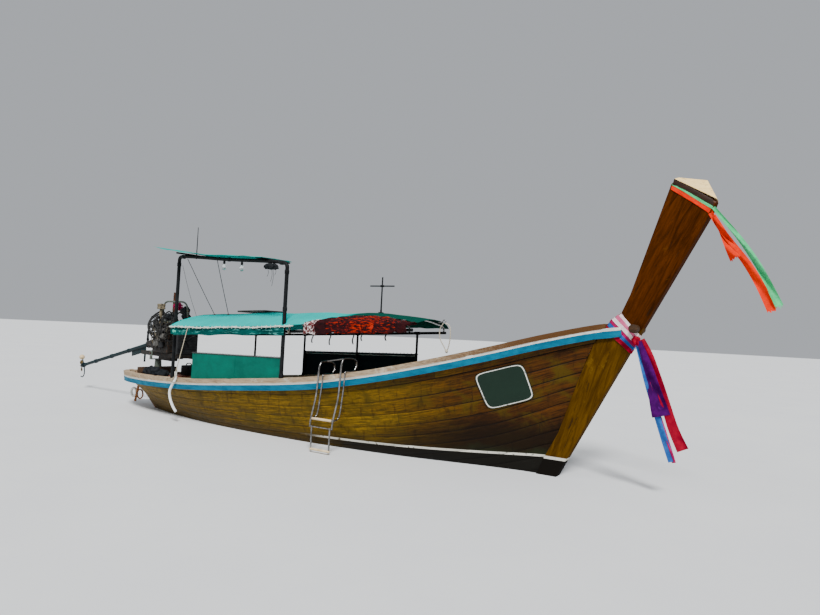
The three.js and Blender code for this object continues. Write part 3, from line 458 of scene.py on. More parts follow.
def settled(shape: Shape, node: str) -> Shape:
    """Shifts a shape up or down, so that its top meets that of a CAD node."""
    rise = node_box(node)[1].z - max(v.co.z for v in shape.verts)
    return moved(shape, Matrix.Translation((0, 0, rise)))


def boards(count: int, ends: Pair, half: Callable[[float], float],
        height: Callable[[float, float], float]) -> Shape:
    """Lays boards side by side, all of them along the boat.

    Args:
        count: How many.
        ends: Where they start and end.
        half: The half width that they fill, at an x.
        height: The height at an x, for a share of their thickness.

    Returns:
        The boards as one shape.
    """
    shapes = []
    for k in range(count):
        low, high = k / count, (k + 1) / count - 0.012

        def place(u: float, v: float, w: float, low: float = low, high: float = high) -> Point:
            """Returns a point of one board."""
            x = lerp(*ends, u)
            reach = half(x)
            return x, lerp(-reach, reach, lerp(low, high, v)), height(x, w)

        shapes.append(bent_bar((12, 1, 1), place, 0.003))
    return gathered(*shapes)


def hex_heads(places: Sequence[Point], towards: Point, radius: float, high: float) -> Shape:
    """Makes bolt heads.

    Args:
        places: Where each stands.
        towards: The way they point.
        radius: Half their width.
        high: Their height.

    Returns:
        All the heads as one shape.
    """
    out = Vector(towards).normalized()
    return gathered(*(rod(Vector(p) - out * high * 0.3, Vector(p) + out * high, radius, 6, end_radius=radius * 0.92)
            for p in places))


# ---------------------------------------------------------------- finishes


class Graph:
    """A material's node tree, with short ways to add nodes and to join them."""

    def __init__(self, name: str) -> None:
        """Starts a material of that name."""
        self.material: Material = bpy.data.materials.new(name)
        self.material.use_nodes = True
        self.tree = self.material.node_tree
        self.shader: Node = self.tree.nodes["Principled BSDF"]

    def feed(self, socket: NodeSocket, value: object) -> None:
        """Sets a socket, or links it where the value is a socket."""
        if isinstance(value, NodeSocket):
            self.tree.links.new(value, socket)
        else:
            socket.default_value = value

    def add(self, kind: str, inputs: dict[str, object], **settings: object) -> Node:
        """Adds a node.

        Args:
            kind: Its kind, without the first word.
            inputs: Values or sockets by the name of the input.
            settings: Its own settings.

        Returns:
            The node.
        """
        made = self.tree.nodes.new("ShaderNode" + kind)
        for key, value in settings.items():
            setattr(made, key, value)
        for key, value in inputs.items():
            self.feed(made.inputs[key], value)
        return made

    def place(self, space: Space, stretch: Point = (1, 1, 1), turn: Point = (0, 0, 0)) -> NodeSocket:
        """Returns the coordinates of a space, stretched and turned."""
        source = self.add("TexCoord", {}).outputs[space.value]
        turned_to = self.add("Mapping", {"Vector": source, "Rotation": turn}).outputs[0]
        return self.add("Mapping", {"Vector": turned_to, "Scale": stretch}).outputs[0]

    def noise(self, vector: NodeSocket, scale: float, detail: float = 4, rough: float = 0.55,
            twist: float = 0.0) -> NodeSocket:
        """Returns a smooth random value from 0 to 1."""
        return self.add("TexNoise",
            {"Vector": vector, "Scale": scale, "Detail": detail, "Roughness": rough,
                "Distortion": twist}).outputs[0]

    def step(self, value: NodeSocket, low: float, high: float) -> NodeSocket:
        """Returns 0 where the value is below low and 1 above high, eased between them."""
        return self.add("MapRange", {"Value": value, "From Min": low, "From Max": high},
            interpolation_type="SMOOTHSTEP").outputs[0]

    def maths(self, sign: str, a: object, b: object = 0.0) -> NodeSocket:
        """Returns the result of a sum on two numbers or sockets."""
        made = self.add("Math", {}, operation=sign)
        self.feed(made.inputs[0], a)
        self.feed(made.inputs[1], b)
        return made.outputs[0]

    def plus(self, a: object, b: object) -> NodeSocket:
        """Returns the sum of two numbers or sockets."""
        return self.maths("ADD", a, b)

    def minus(self, a: object, b: object) -> NodeSocket:
        """Returns the first number or socket less the second."""
        return self.maths("SUBTRACT", a, b)

    def times(self, a: object, b: object) -> NodeSocket:
        """Returns the product of two numbers or sockets."""
        return self.maths("MULTIPLY", a, b)

    def rest(self, value: NodeSocket) -> NodeSocket:
        """Returns what a value leaves of 1."""
        return self.minus(1.0, value)

    def between(self, value: NodeSocket, low: float, high: float) -> NodeSocket:
        """Returns a value from 0 to 1 carried over to a range."""
        return self.add("MapRange", {"Value": value, "To Min": low, "To Max": high}).outputs[0]

    def mix(self, share: object, a: object, b: object) -> NodeSocket:
        """Returns one colour mixed into another."""
        made = self.add("Mix", {}, data_type="RGBA")
        self.feed(made.inputs[0], share)
        for slot, value in ((6, a), (7, b)):
            self.feed(made.inputs[slot], (*value, 1) if isinstance(value, tuple) else value)
        return made.outputs[2]

    def stained(self, body: NodeSocket, mask: NodeSocket, share: object, colour: object) -> NodeSocket:
        """Returns a colour with a share of another one where a mask is set."""
        return self.mix(self.times(mask, share), body, colour)

    def parts(self, vector: NodeSocket) -> list[NodeSocket]:
        """Returns the three parts of a vector."""
        return list(self.add("SeparateXYZ", {"Vector": vector}).outputs)

    def bump(self, height: NodeSocket, deep: float, strength: float = 1.0) -> None:
        """Raises the surface by a height, on top of what is already there."""
        made = self.add("Bump", {"Height": height, "Distance": deep, "Strength": strength})
        normal = self.shader.inputs["Normal"]
        if normal.links:
            self.feed(made.inputs["Normal"], normal.links[0].from_socket)
        self.feed(normal, made.outputs[0])

    def shade(self, **inputs: object) -> None:
        """Sets the shader's own sockets."""
        for key, value in inputs.items():
            is_colour = isinstance(value, tuple) and len(value) == 3
            self.feed(self.shader.inputs[key.replace("_", " ")], (*value, 1) if is_colour else value)


# The materials made so far, by name, and the power that draws the sign's circle out to a square.
MADE: dict[str, Material] = {}
SQUARENESS = 7.0


@dataclass(frozen=True)
class Finish:
    """A painted, cast or moulded surface with uneven colour, fine bumps and worn patches."""

    name: str
    slot: str
    colour: Colour
    shade: Colour
    worn: Colour = (0.3, 0.25, 0.2)
    wear: float = 0.62
    rough: Pair = (0.4, 0.65)
    metal: float = 0.0
    scale: float = 5.0
    stretch: Triple = (1.0, 1.0, 1.0)
    turn: Triple = (0.0, 0.0, 0.0)
    relief: float = 0.0006
    space: Space = Space.OBJECT
    shine: float = 0.18

    def material(self) -> Material:
        """Returns the material, made on first use."""
        if self.name not in MADE:
            graph = Graph(self.name)
            self.paint(graph)
            MADE[self.name] = graph.material
        return MADE[self.name]

    def paint(self, graph: Graph) -> None:
        """Fills the node tree."""
        at = graph.place(self.space, self.stretch, self.turn)
        broad = graph.noise(at, self.scale, 5, 0.6)
        fine = graph.noise(at, self.scale * 14, 4, 0.6)
        body = graph.mix(graph.step(broad, 0.32, 0.68), self.colour, self.shade)
        body = graph.stained(body, graph.step(fine, 0.4, 0.75), 0.25, self.shade)
        patches = graph.noise(at, self.scale * 2.3, 9, 0.72, 0.4)
        wear = graph.step(patches, self.wear, self.wear + 0.05)
        colour = graph.mix(wear, body, self.worn)
        rough = graph.between(broad, *self.rough)
        graph.shade(Base_Color=colour, Roughness=graph.plus(rough, graph.times(wear, 0.2)), Metallic=self.metal,
            Specular_IOR_Level=self.shine)
        graph.bump(fine, self.relief)
        graph.bump(graph.rest(wear), self.relief * 0.7)


@dataclass(frozen=True)
class Timber(Finish):
    """Wood with its grain drawn out along one way, cracks in it and weathered patches."""

    coat: float = 0.0
    sun: Colour | None = None
    waterline: float = 0.0
    crack: Colour = (0.012, 0.008, 0.005)
    stripe: Colour = (0.55, 0.53, 0.46)
    under: Colour = (0.006, 0.005, 0.004)

    def paint(self, graph: Graph) -> None:
        """Fills the node tree."""
        at = graph.place(self.space, self.stretch, self.turn)
        rings = graph.noise(at, self.scale, 6, 0.62, 1.4)
        pores = graph.noise(at, self.scale * 7, 5, 0.7)
        body = graph.mix(graph.step(rings, 0.3, 0.72), self.colour, self.shade)
        body = graph.stained(body, graph.step(pores, 0.45, 0.7), 0.5, self.shade)
        plain = graph.place(Space.OBJECT)
        patches = graph.noise(plain, 3.5, 8, 0.7, 0.3)
        wear = graph.step(patches, self.wear, self.wear + 0.09)
        body = graph.stained(body, wear, 0.75, self.worn)
        cracks = graph.step(graph.noise(at, self.scale * 2.6, 3, 0.4, 0.6), 0.66, 0.7)
        body = graph.stained(body, cracks, 0.6, self.crack)
        if self.sun:
            x = graph.parts(plain)[0]
            body = graph.mix(graph.step(graph.plus(x, rings), 2.3, 4.4), body, self.sun)
        rough = graph.between(pores, *self.rough)
        if self.waterline:
            z = graph.parts(plain)[2]
            paint = graph.rest(graph.step(z, self.waterline - 0.004, self.waterline + 0.004))
            body = graph.mix(paint, body, self.stripe)
            below = graph.rest(graph.step(z, self.waterline - 0.04, self.waterline - 0.032))
            body = graph.mix(below, body, self.under)
        graph.shade(Base_Color=body, Roughness=rough, Metallic=0.0, Coat_Weight=self.coat, Coat_Roughness=0.25,
            Specular_IOR_Level=self.shine)
        graph.bump(pores, self.relief)
        graph.bump(graph.rest(cracks), self.relief * 2)


@dataclass(frozen=True)
class PlankVarnish(Finish):
    """Old varnish on carvel planks: seams, butts, drips, a darker bow, a low bow darkened partly by algae stain and
    partly by painted shade, and the paint at the waterline.

    The UV holds the distance from the origin along X in metres, and the number of the plank. The white
    stripe runs at a height of line[0] * x * x - line[1] * x + line[2].
    """

    bow: Colour = (0.088, 0.028, 0.002)
    bow_shade: Colour = (0.017, 0.0065, 0.0015)
    # The colour of the low bow's darkening, which is partly algae stain and partly painted shade.
    bow_low_stain_and_shade: Colour = (0.007, 0.0035, 0.0015)
    weed: Colour = (0.012, 0.016, 0.006)
    seam: Colour = (0.006, 0.004, 0.003)
    stripe: Colour = (0.62, 0.6, 0.52)
    under: Colour = (0.006, 0.005, 0.004)
    line: Triple = (0.006916, 0.00108, 0.1356)

    def paint(self, graph: Graph) -> None:
        """Fills the node tree."""
        run, number, _ = graph.parts(graph.place(Space.SURFACE))
        plank = graph.maths("FLOOR", number)
        within = graph.minus(number, plank)
        chance = graph.add("TexWhiteNoise", {"W": plank}, noise_dimensions="1D").outputs[0]
        lengths = graph.maths("DIVIDE", graph.plus(run, graph.times(chance, 7.3)), 3.1)
        butt = graph.maths("FLOOR", lengths)
        board = graph.add("CombineXYZ", {"X": plank, "Y": butt}).outputs[0]
        tone = graph.add("TexWhiteNoise", {"Vector": board}, noise_dimensions="3D").outputs[0]
        x, _, z = graph.parts(graph.place(Space.OBJECT))
        bow = graph.step(graph.plus(x, graph.times(tone, 0.7)), 1.5, 3.6)
        grain_at = graph.add("CombineXYZ",
            {"X": graph.times(run, 1.6), "Y": graph.times(number, 4.0), "Z": tone}).outputs[0]
        grain = graph.noise(grain_at, 2.2, 8, 0.68, 0.8)
        streaks = graph.noise(grain_at, 9.0, 5, 0.6, 0.3)
        blots = graph.noise(graph.place(Space.OBJECT, (0.9, 1, 1.6)), 2.6, 6, 0.62, 0.5)
        drips = graph.noise(graph.place(Space.OBJECT, (7, 7, 0.9)), 2.4, 4, 0.6)
        warm = graph.mix(graph.step(grain, 0.34, 0.66), self.colour, self.shade)
        cold = graph.mix(graph.step(grain, 0.34, 0.66), self.bow, self.bow_shade)
        body = graph.mix(bow, warm, cold)
        body = graph.stained(body, graph.step(streaks, 0.46, 0.68), 0.45, self.bow_shade)
        body = graph.stained(body, graph.step(blots, 0.46, 0.66), 0.8, self.shade)
        body = graph.stained(body, graph.step(drips, 0.52, 0.7), 0.5, self.bow_shade)
        body = graph.stained(body, tone, 0.34, self.bow_shade)
        # Darkens the low bow towards the water, partly as algae stain and partly as painted shade; the same level
        # sets the green weed below.
        stain_and_shade_level = graph.plus(z, graph.times(graph.minus(blots, 0.5), 0.4))
        stain_and_shade_level = graph.minus(stain_and_shade_level, graph.times(graph.step(x, 1.0, 3.6), 0.5))
        low_stain_and_shade = graph.rest(graph.step(stain_and_shade_level, 0.0, 0.42))
        deepest = graph.add("MapRange",
            {"Value": x, "From Min": 0.8, "From Max": 3.0, "To Min": 0.6, "To Max": 0.93}).outputs[0]
        body = graph.stained(body, low_stain_and_shade, deepest, self.bow_low_stain_and_shade)
        slime = graph.rest(graph.step(stain_and_shade_level, -0.3, -0.1))
        body = graph.stained(body, slime, 0.85, self.weed)
        edge = graph.maths("MINIMUM", within, graph.rest(within))
        seam = graph.rest(graph.step(edge, 0.014, 0.05))
        ends = graph.minus(lengths, butt)
        joint = graph.rest(graph.step(ends, 0.0008, 0.0022))
        gap = graph.maths("MAXIMUM", graph.times(seam, graph.between(bow, 0.4, 0.98)), graph.times(joint, 0.8))
        body = graph.mix(gap, body, self.seam)
        bend, fall, base = self.line
        square = graph.times(graph.times(x, x), bend)
        above = graph.minus(z, graph.plus(graph.minus(square, graph.times(x, fall)), base))
        fade = graph.times(graph.step(graph.plus(x, graph.times(blots, 0.9)), 0.75, 1.5),
            graph.step(graph.noise(graph.place(Space.OBJECT), 20, 5), 0.3, 0.42))
        white = graph.times(graph.rest(graph.step(graph.maths("ABSOLUTE", above), 0.013, 0.018)), fade)
        painted = graph.times(graph.rest(graph.step(above, -0.02, -0.012)), graph.step(x, 0.6, 1.3))
        body = graph.stained(body, painted, 0.94, self.under)
        body = graph.mix(white, body, self.stripe)
        graph.shade(Base_Color=body, Roughness=graph.between(streaks, *self.rough), Coat_Weight=0.05,
            Coat_Roughness=0.3, Specular_IOR_Level=self.shine)
        graph.bump(grain, 0.0015)
        graph.bump(streaks, 0.0006)
        graph.bump(graph.rest(gap), 0.003)


@dataclass(frozen=True)
class Woven(Finish):
    """Cloth with threads, creases and faded or dirty places. Its UV is in metres."""

    thread: float = 900.0
    through: float = 0.0
    second: Colour | None = None
    split: Pair = (0.0, 0.0)
    cover: float = 0.5

    def paint(self, graph: Graph) -> None:
        """Fills the node tree."""
        across, down, _ = graph.parts(graph.place(Space.SURFACE))
        solid = graph.place(Space.OBJECT, self.stretch)
        broad = graph.noise(solid, self.scale, 5, 0.6, 0.3)
        dirt = graph.noise(solid, self.scale * 2.7, 8, 0.7, 0.6)
        body = graph.mix(graph.step(broad, 0.3, 0.7), self.colour, self.shade)
        if self.second:
            body = graph.mix(graph.step(graph.parts(graph.place(Space.OBJECT))[0], *self.split), body, self.second)
        stain = graph.step(dirt, self.wear, self.wear + 0.1)
        body = graph.stained(body, stain, self.cover, self.worn)
        warp = graph.maths("SINE", graph.times(across, self.thread))
        weft = graph.maths("SINE", graph.times(down, self.thread))
        weave = graph.times(warp, weft)
        body = graph.stained(body, graph.step(weave, -0.2, 1.0), 0.12, self.shade)
        rough = graph.between(broad, *self.rough)
        graph.shade(Base_Color=body, Roughness=rough, Transmission_Weight=self.through,
            Specular_IOR_Level=self.shine)
        graph.bump(weave, 0.0003, 0.5)
        graph.bump(graph.noise(solid, self.scale * 5, 4, 0.6), self.relief * 3)


@dataclass(frozen=True)
class Laid(Finish):
    """Twisted rope or a ribbed hose. Its UV is in metres along and round it."""

    twist: float = 260.0
    lean: float = 1.0

    def paint(self, graph: Graph) -> None:
        """Fills the node tree."""
        run, round_it, _ = graph.parts(graph.place(Space.SURFACE))
        turn = graph.plus(graph.times(run, self.twist), graph.times(round_it, self.twist * self.lean))
        strand = graph.maths("SINE", turn)
        dirt = graph.noise(graph.place(Space.OBJECT), self.scale * 3, 6, 0.65)
        body = graph.mix(graph.step(strand, -0.9, 0.3), self.shade, self.colour)
        body = graph.stained(body, graph.step(dirt, self.wear, self.wear + 0.15), 0.7, self.worn)
        graph.shade(Base_Color=body, Roughness=graph.between(dirt, *self.rough))
        graph.bump(strand, self.relief)


@dataclass(frozen=True)
class SignPlate(Finish):
    """A blank painted plate with a thin outline. Its UV runs from -1 to 1 each way."""

    outline: Colour = (0.66, 0.66, 0.6)

    def paint(self, graph: Graph) -> None:
        """Fills the node tree."""
        across, up, _ = graph.parts(graph.place(Space.SURFACE))
        near = [graph.maths("POWER", graph.maths("ABSOLUTE", part), SQUARENESS) for part in (across, up)]
        reach = graph.maths("POWER", graph.plus(*near), 1 / SQUARENESS)
        line = graph.times(graph.step(reach, 0.925, 0.935), graph.rest(graph.step(reach, 0.965, 0.975)))
        at = graph.place(Space.OBJECT)
        broad = graph.noise(at, self.scale, 6, 0.65)
        flakes = graph.noise(at, 34, 6, 0.7)
        body = graph.mix(broad, self.colour, self.shade)
        body = graph.stained(body, line, graph.step(flakes, 0.36, 0.42), self.outline)
        body = graph.stained(body, graph.step(flakes, 0.66, 0.72), 0.5, self.worn)
        graph.shade(Base_Color=body, Roughness=graph.between(broad, *self.rough), Specular_IOR_Level=self.shine)
        graph.bump(flakes, self.relief)


@dataclass(frozen=True)
class Glass(Finish):
    """Clear or cell-covered glass, dusty in places."""

    clear: float = 0.9
    cells: float = 0.0

    def paint(self, graph: Graph) -> None:
        """Fills the node tree."""
        at = graph.place(Space.OBJECT)
        dust = graph.noise(at, self.scale * 4, 6, 0.7)
        body = graph.mix(graph.step(dust, 0.5, 0.8), self.colour, self.shade)
        if self.cells:
            x, y, _ = graph.parts(at)
            waves = [graph.maths("SINE", graph.times(part, self.cells)) for part in (x, y)]
            lines = [graph.step(graph.maths("ABSOLUTE", wave), 0.03, 0.08) for wave in waves]
            body = graph.mix(graph.times(*lines), self.worn, body)
        graph.shade(Base_Color=body, Transmission_Weight=self.clear, IOR=1.45,
            Roughness=graph.between(dust, *self.rough))
        graph.bump(dust, self.relief)


HULL = PlankVarnish("hull_varnish", "varnished_wood", (0.24, 0.132, 0.0025), (0.062, 0.040, 0.0025),
    rough=(0.42, 0.7), shine=0.05)
STEM_WOOD = Timber("stem_varnish", "dark_wood", (0.092, 0.042, 0.0018), (0.034, 0.0145, 0.0015),
    (0.13, 0.068, 0.005), 0.6, (0.4, 0.65), scale=1.6, stretch=(9, 9, 1.0), turn=(0.0, -0.3, 0.0), relief=0.0012,
    coat=0.04, waterline=0.25, shine=0.0)
HEAD_WOOD = Timber("head_wood", "dark_wood", (0.07, 0.017, 0.001), (0.02, 0.0055, 0.0008), (0.10, 0.036, 0.003),
    0.62, (0.42, 0.66), scale=1.6, stretch=(9, 9, 1.0), turn=(0.0, -0.45, 0.0), relief=0.0012, coat=0.04, shine=0.0)
HEAD_RIM = Timber("head_rim", "dark_wood", (0.03, 0.010, 0.003), (0.012, 0.005, 0.002), (0.1, 0.04, 0.012), 0.6,
    (0.45, 0.65), scale=3, stretch=(1, 8, 8), relief=0.001)
END_GRAIN = Timber("end_grain", "cap_wood", (0.92, 0.68, 0.30), (0.74, 0.5, 0.2), (0.45, 0.26, 0.1), 0.66,
    (0.6, 0.8), scale=5, stretch=(1, 6, 6), relief=0.001)
DARK_WOOD = Timber("dark_wood", "dark_wood", (0.058, 0.026, 0.009), (0.02, 0.010, 0.005), (0.11, 0.065, 0.03), 0.6,
    (0.55, 0.8), scale=3, stretch=(1, 10, 10), relief=0.001)
CAP_WOOD = Timber("cap_wood", "cap_wood", (0.42, 0.32, 0.21), (0.24, 0.165, 0.10), (0.5, 0.43, 0.33), 0.55,
    (0.7, 0.9), scale=3, stretch=(1, 12, 12), relief=0.0012, sun=(0.085, 0.036, 0.010))
DECK_WOOD = Timber("deck_paint", "pink_deck", (0.34, 0.10, 0.06), (0.2, 0.06, 0.035), (0.4, 0.25, 0.16), 0.52,
    (0.6, 0.85), scale=3, stretch=(1, 10, 10), relief=0.001)
BOTTOM = Timber("bottom_paint", "bottom_paint", (0.016, 0.013, 0.011), (0.03, 0.024, 0.018), (0.05, 0.05, 0.035),
    0.6, (0.6, 0.9), scale=3, stretch=(1, 8, 8), relief=0.001)
INSIDE_WOOD = Timber("inside_planks", "varnished_wood", (0.095, 0.048, 0.015), (0.035, 0.018, 0.007),
    (0.16, 0.10, 0.05), 0.56, (0.55, 0.8), scale=2.4, stretch=(1, 9, 9), relief=0.001)
HULL_POST = Timber("stern_post_wood", "varnished_wood", (0.16, 0.07, 0.02), (0.06, 0.025, 0.01), (0.2, 0.1, 0.04),
    0.6, (0.4, 0.6), scale=2.2, stretch=(6, 8, 1.2), relief=0.001)
BLUE = Finish("blue_paint", "blue_paint", (0.0, 0.135, 0.225), (0.0, 0.085, 0.15), (0.12, 0.14, 0.13), 0.7,
    (0.4, 0.6), scale=4, stretch=(1, 4, 4), shine=0.05)
WHITE = Finish("white_paint", "cream", (0.72, 0.72, 0.68), (0.55, 0.54, 0.48), (0.36, 0.28, 0.2), 0.66, (0.4, 0.6),
    scale=5, stretch=(1, 4, 4))
PIPE = Finish("black_pipe_paint", "black_pipe", (0.003, 0.0035, 0.004), (0.008, 0.009, 0.010), (0.06, 0.028, 0.014),
    0.68, (0.45, 0.65), 0.0, 9, shine=0.1)
# The steel's colour is darkened as a painted reflection of dark surroundings.
STEEL_PAINTED_DARK_REFLECTION = Finish("stainless_steel", "steel", (0.30, 0.295, 0.29), (0.12, 0.115, 0.11), (0.16, 0.11, 0.07), 0.66,
    (0.14, 0.3), 1.0, 14, relief=0.0001)
IRON = Finish("oily_cast_iron", "cast_iron", (0.007, 0.0065, 0.006), (0.02, 0.017, 0.014), (0.085, 0.034, 0.014),
    0.57, (0.4, 0.75), 0.1, 11, relief=0.001, shine=0.15)
ALLOY = Finish("dull_alloy", "steel", (0.11, 0.105, 0.095), (0.045, 0.042, 0.038), (0.02, 0.017, 0.015), 0.56,
    (0.4, 0.65), 0.35, 14, relief=0.0006)
GREY_GREEN = Finish("grey_green_paint", "grey_green_paint", (0.12, 0.145, 0.12), (0.055, 0.068, 0.055),
    (0.10, 0.05, 0.025), 0.58, (0.45, 0.65), 0.1, 10)
CREAM = Finish("cream_plastic", "cream", (0.68, 0.54, 0.33), (0.5, 0.38, 0.22), (0.25, 0.17, 0.1), 0.62,
    (0.45, 0.65), 0.0, 9)
TANK = Finish("tank_plastic", "tank_plastic", (0.008, 0.0085, 0.0095), (0.02, 0.02, 0.021), (0.07, 0.05, 0.036),
    0.64, (0.45, 0.65), 0.0, 9, shine=0.12)
FILTER = Finish("sooty_filter", "cream", (0.2, 0.165, 0.10), (0.085, 0.07, 0.045), (0.03, 0.024, 0.018), 0.54,
    (0.5, 0.7), 0.0, 9)
SOOT = Finish("sooty_rust", "rusty_steel", (0.07, 0.024, 0.010), (0.025, 0.012, 0.007), (0.2, 0.075, 0.025), 0.57,
    (0.75, 0.95), 0.15, 14, relief=0.0015)
RUST = Finish("rusty_steel", "rusty_steel", (0.25, 0.085, 0.028), (0.12, 0.038, 0.015), (0.38, 0.17, 0.06), 0.52,
    (0.75, 0.95), 0.25, 14, relief=0.0015)
BRONZE = Finish("bronze", "bronze", (0.22, 0.14, 0.05), (0.08, 0.06, 0.03), (0.06, 0.08, 0.05), 0.6, (0.25, 0.5),
    0.95, 14)
TEAL_PIPE = Finish("tail_paint", "black_pipe", (0.002, 0.010, 0.013), (0.005, 0.018, 0.021), (0.07, 0.035, 0.018),
    0.66, (0.45, 0.62), 0.0, 8, shine=0.1)
RUBBER = Finish("black_rubber", "tank_plastic", (0.007, 0.007, 0.007), (0.018, 0.0175, 0.017), (0.06, 0.05, 0.04),
    0.64, (0.5, 0.75), 0.0, 16, shine=0.15)
CANOPY = Woven("canopy_cloth", "canopy_cloth", (0.0, 0.37, 0.345), (0.0, 0.31, 0.285), (0.0, 0.22, 0.2), 0.6,
    (0.6, 0.8), scale=2.2, relief=0.002, second=(0.003, 0.042, 0.028), split=(0.85, 1.1), shine=0.0)
AWNING = Woven("awning_cloth", "canopy_cloth", (0.0, 0.36, 0.31), (0.0, 0.22, 0.195), (0.18, 0.5, 0.42), 0.55,
    (0.6, 0.8), scale=4, relief=0.003, shine=0.0)
# The valance's dark green body colour is painted shade for a flap hanging in shadow.
VALANCE_PAINTED_SHADE = Woven("curtain_cloth", "curtain_cloth", (0.0, 0.085, 0.075), (0.0, 0.028, 0.026), (0.12, 0.40, 0.36),
    0.54, (0.6, 0.8), scale=3, relief=0.003, stretch=(0.7, 1, 4), cover=0.7, shine=0.0)
PALE_RIM = Woven("pale_hem", "cream", (0.6, 0.62, 0.55), (0.42, 0.46, 0.4), (0.3, 0.26, 0.2), 0.6, (0.6, 0.8),
    scale=9)
GREEN_SHEET = Woven("green_sheet", "green_panel", (0.0, 0.115, 0.08), (0.0, 0.078, 0.056), (0.0, 0.145, 0.10), 0.62,
    (0.5, 0.7), scale=3, relief=0.002, shine=0.04)
BLACK_SHEET = Woven("black_sheet", "black_panel", (0.004, 0.010, 0.013), (0.009, 0.018, 0.021), (0.04, 0.05, 0.05),
    0.6, (0.5, 0.7), scale=3, relief=0.002, shine=0.04)
JACKET_RED = Woven("jacket_orange", "red_cloth", (0.40, 0.018, 0.003), (0.20, 0.008, 0.003), (0.014, 0.003, 0.004),
    0.42, (0.6, 0.8), scale=5, relief=0.004, stretch=(0.7, 1.6, 2.6), cover=1.0, shine=0.04)
JACKET_MIXED = Woven("jacket_mixed", "red_cloth", (0.026, 0.004, 0.005), (0.008, 0.003, 0.004),
    (0.34, 0.015, 0.004), 0.52, (0.6, 0.8), scale=5, relief=0.004, stretch=(0.7, 1.6, 2.6), cover=1.0, shine=0.04)
JACKET_DARK = Woven("jacket_dark", "red_cloth", (0.028, 0.004, 0.005), (0.008, 0.004, 0.005), (0.13, 0.012, 0.008),
    0.58, (0.6, 0.85), scale=7, relief=0.004, stretch=(0.8, 1.5, 2.2), shine=0.04)
SCRAPS = Woven("pale_scraps", "red_cloth", (0.10, 0.008, 0.009), (0.03, 0.005, 0.006), (0.7, 0.62, 0.6), 0.48,
    (0.6, 0.8), scale=9, relief=0.004, cover=1.0, shine=0.04)
MINT = Woven("mint_bag", "cream", (0.05, 0.46, 0.33), (0.03, 0.28, 0.21), (0.25, 0.55, 0.45), 0.6, (0.5, 0.7),
    scale=8)
NET = Woven("dark_net", "net", (0.008, 0.010, 0.012), (0.02, 0.022, 0.024), (0.06, 0.058, 0.055), 0.6, (0.7, 0.9),
    scale=18, thread=420, relief=0.006, shine=0.04)
STRAP = Woven("black_strap", "black_panel", (0.012, 0.012, 0.013), (0.022, 0.022, 0.023), (0.06, 0.055, 0.05), 0.65,
    (0.6, 0.8), scale=10)
ROPE = Laid("pale_rope", "cream", (0.56, 0.5, 0.38), (0.24, 0.2, 0.14), (0.26, 0.22, 0.15), 0.55, (0.7, 0.9),
    relief=0.0008)
DARK_ROPE = Laid("dark_rope", "net", (0.045, 0.05, 0.05), (0.012, 0.013, 0.014), (0.1, 0.09, 0.08), 0.6,
    (0.6, 0.85), relief=0.0008)
HOSE = Laid("white_hose", "white_hose", (0.75, 0.76, 0.74), (0.6, 0.62, 0.6), (0.4, 0.38, 0.3), 0.62, (0.3, 0.5),
    relief=0.0006, twist=420, lean=0.0)


def ribbon_finish(name: str, slot: str, colour: Colour, shade: Colour, pale: Colour) -> Woven:
    """Returns a satin finish for one colour of ribbon."""
    return Woven(name, slot, colour, shade, pale, 0.6, (0.4, 0.6), scale=9, relief=0.002, thread=1500, shine=0.0)


PINK = ribbon_finish("pink_ribbon", "pink_cloth", (0.7, 0.17, 0.30), (0.45, 0.07, 0.16), (0.75, 0.4, 0.48))
WHITE_RIBBON = ribbon_finish("white_ribbon", "pink_cloth", (0.8, 0.72, 0.72), (0.65, 0.5, 0.52), (0.7, 0.4, 0.45))
MAGENTA = ribbon_finish("magenta_ribbon", "pink_cloth", (0.40, 0.008, 0.09), (0.22, 0.005, 0.055),
    (0.5, 0.05, 0.16))
CRIMSON = ribbon_finish("crimson_ribbon", "purple_cloth", (0.32, 0.005, 0.022), (0.16, 0.003, 0.014),
    (0.42, 0.03, 0.06))
PURPLE = ribbon_finish("purple_ribbon", "purple_cloth", (0.060, 0.0012, 0.092), (0.028, 0.001, 0.05),
    (0.10, 0.01, 0.16))
BLUE_RIBBON = ribbon_finish("blue_ribbon", "purple_cloth", (0.03, 0.12, 0.36), (0.015, 0.06, 0.22),
    (0.10, 0.22, 0.5))
ORANGE = ribbon_finish("orange_ribbon", "orange_cloth", (0.74, 0.028, 0.003), (0.50, 0.014, 0.002),
    (0.8, 0.09, 0.02))
GREEN_RIBBON = ribbon_finish("green_ribbon", "orange_cloth", (0.06, 0.5, 0.2), (0.03, 0.34, 0.12),
    (0.25, 0.65, 0.36))
SIGN = SignPlate("sign_plate", "green_panel", (0.003, 0.012, 0.007), (0.006, 0.02, 0.011), (0.03, 0.03, 0.02), 0.6,
    (0.35, 0.55), scale=6, relief=0.0004)
BULB = Glass("bulb_glass", "cream", (0.85, 0.88, 0.88), (0.6, 0.62, 0.6), rough=(0.03, 0.2), relief=0.0001)
SOLAR = Glass("solar_glass", "solar_glass", (0.006, 0.009, 0.02), (0.04, 0.045, 0.055), (0.25, 0.26, 0.28), 0.6,
    (0.08, 0.3), clear=0.0, cells=20.1, relief=0.0001)
FLOOR = Finish("studio_floor", "cream", (0.66, 0.67, 0.67), (0.63, 0.64, 0.65), (0.65, 0.66, 0.67), 0.9, (0.6, 0.7),
    scale=0.4, relief=0.0002)


# ---------------------------------------------------------------- pieces


def linked(name: str, data: object) -> Object:
    """Returns a new object of that name, linked to the scene."""
    made = bpy.data.objects.new(name, data)
    bpy.context.scene.collection.objects.link(made)
    return made


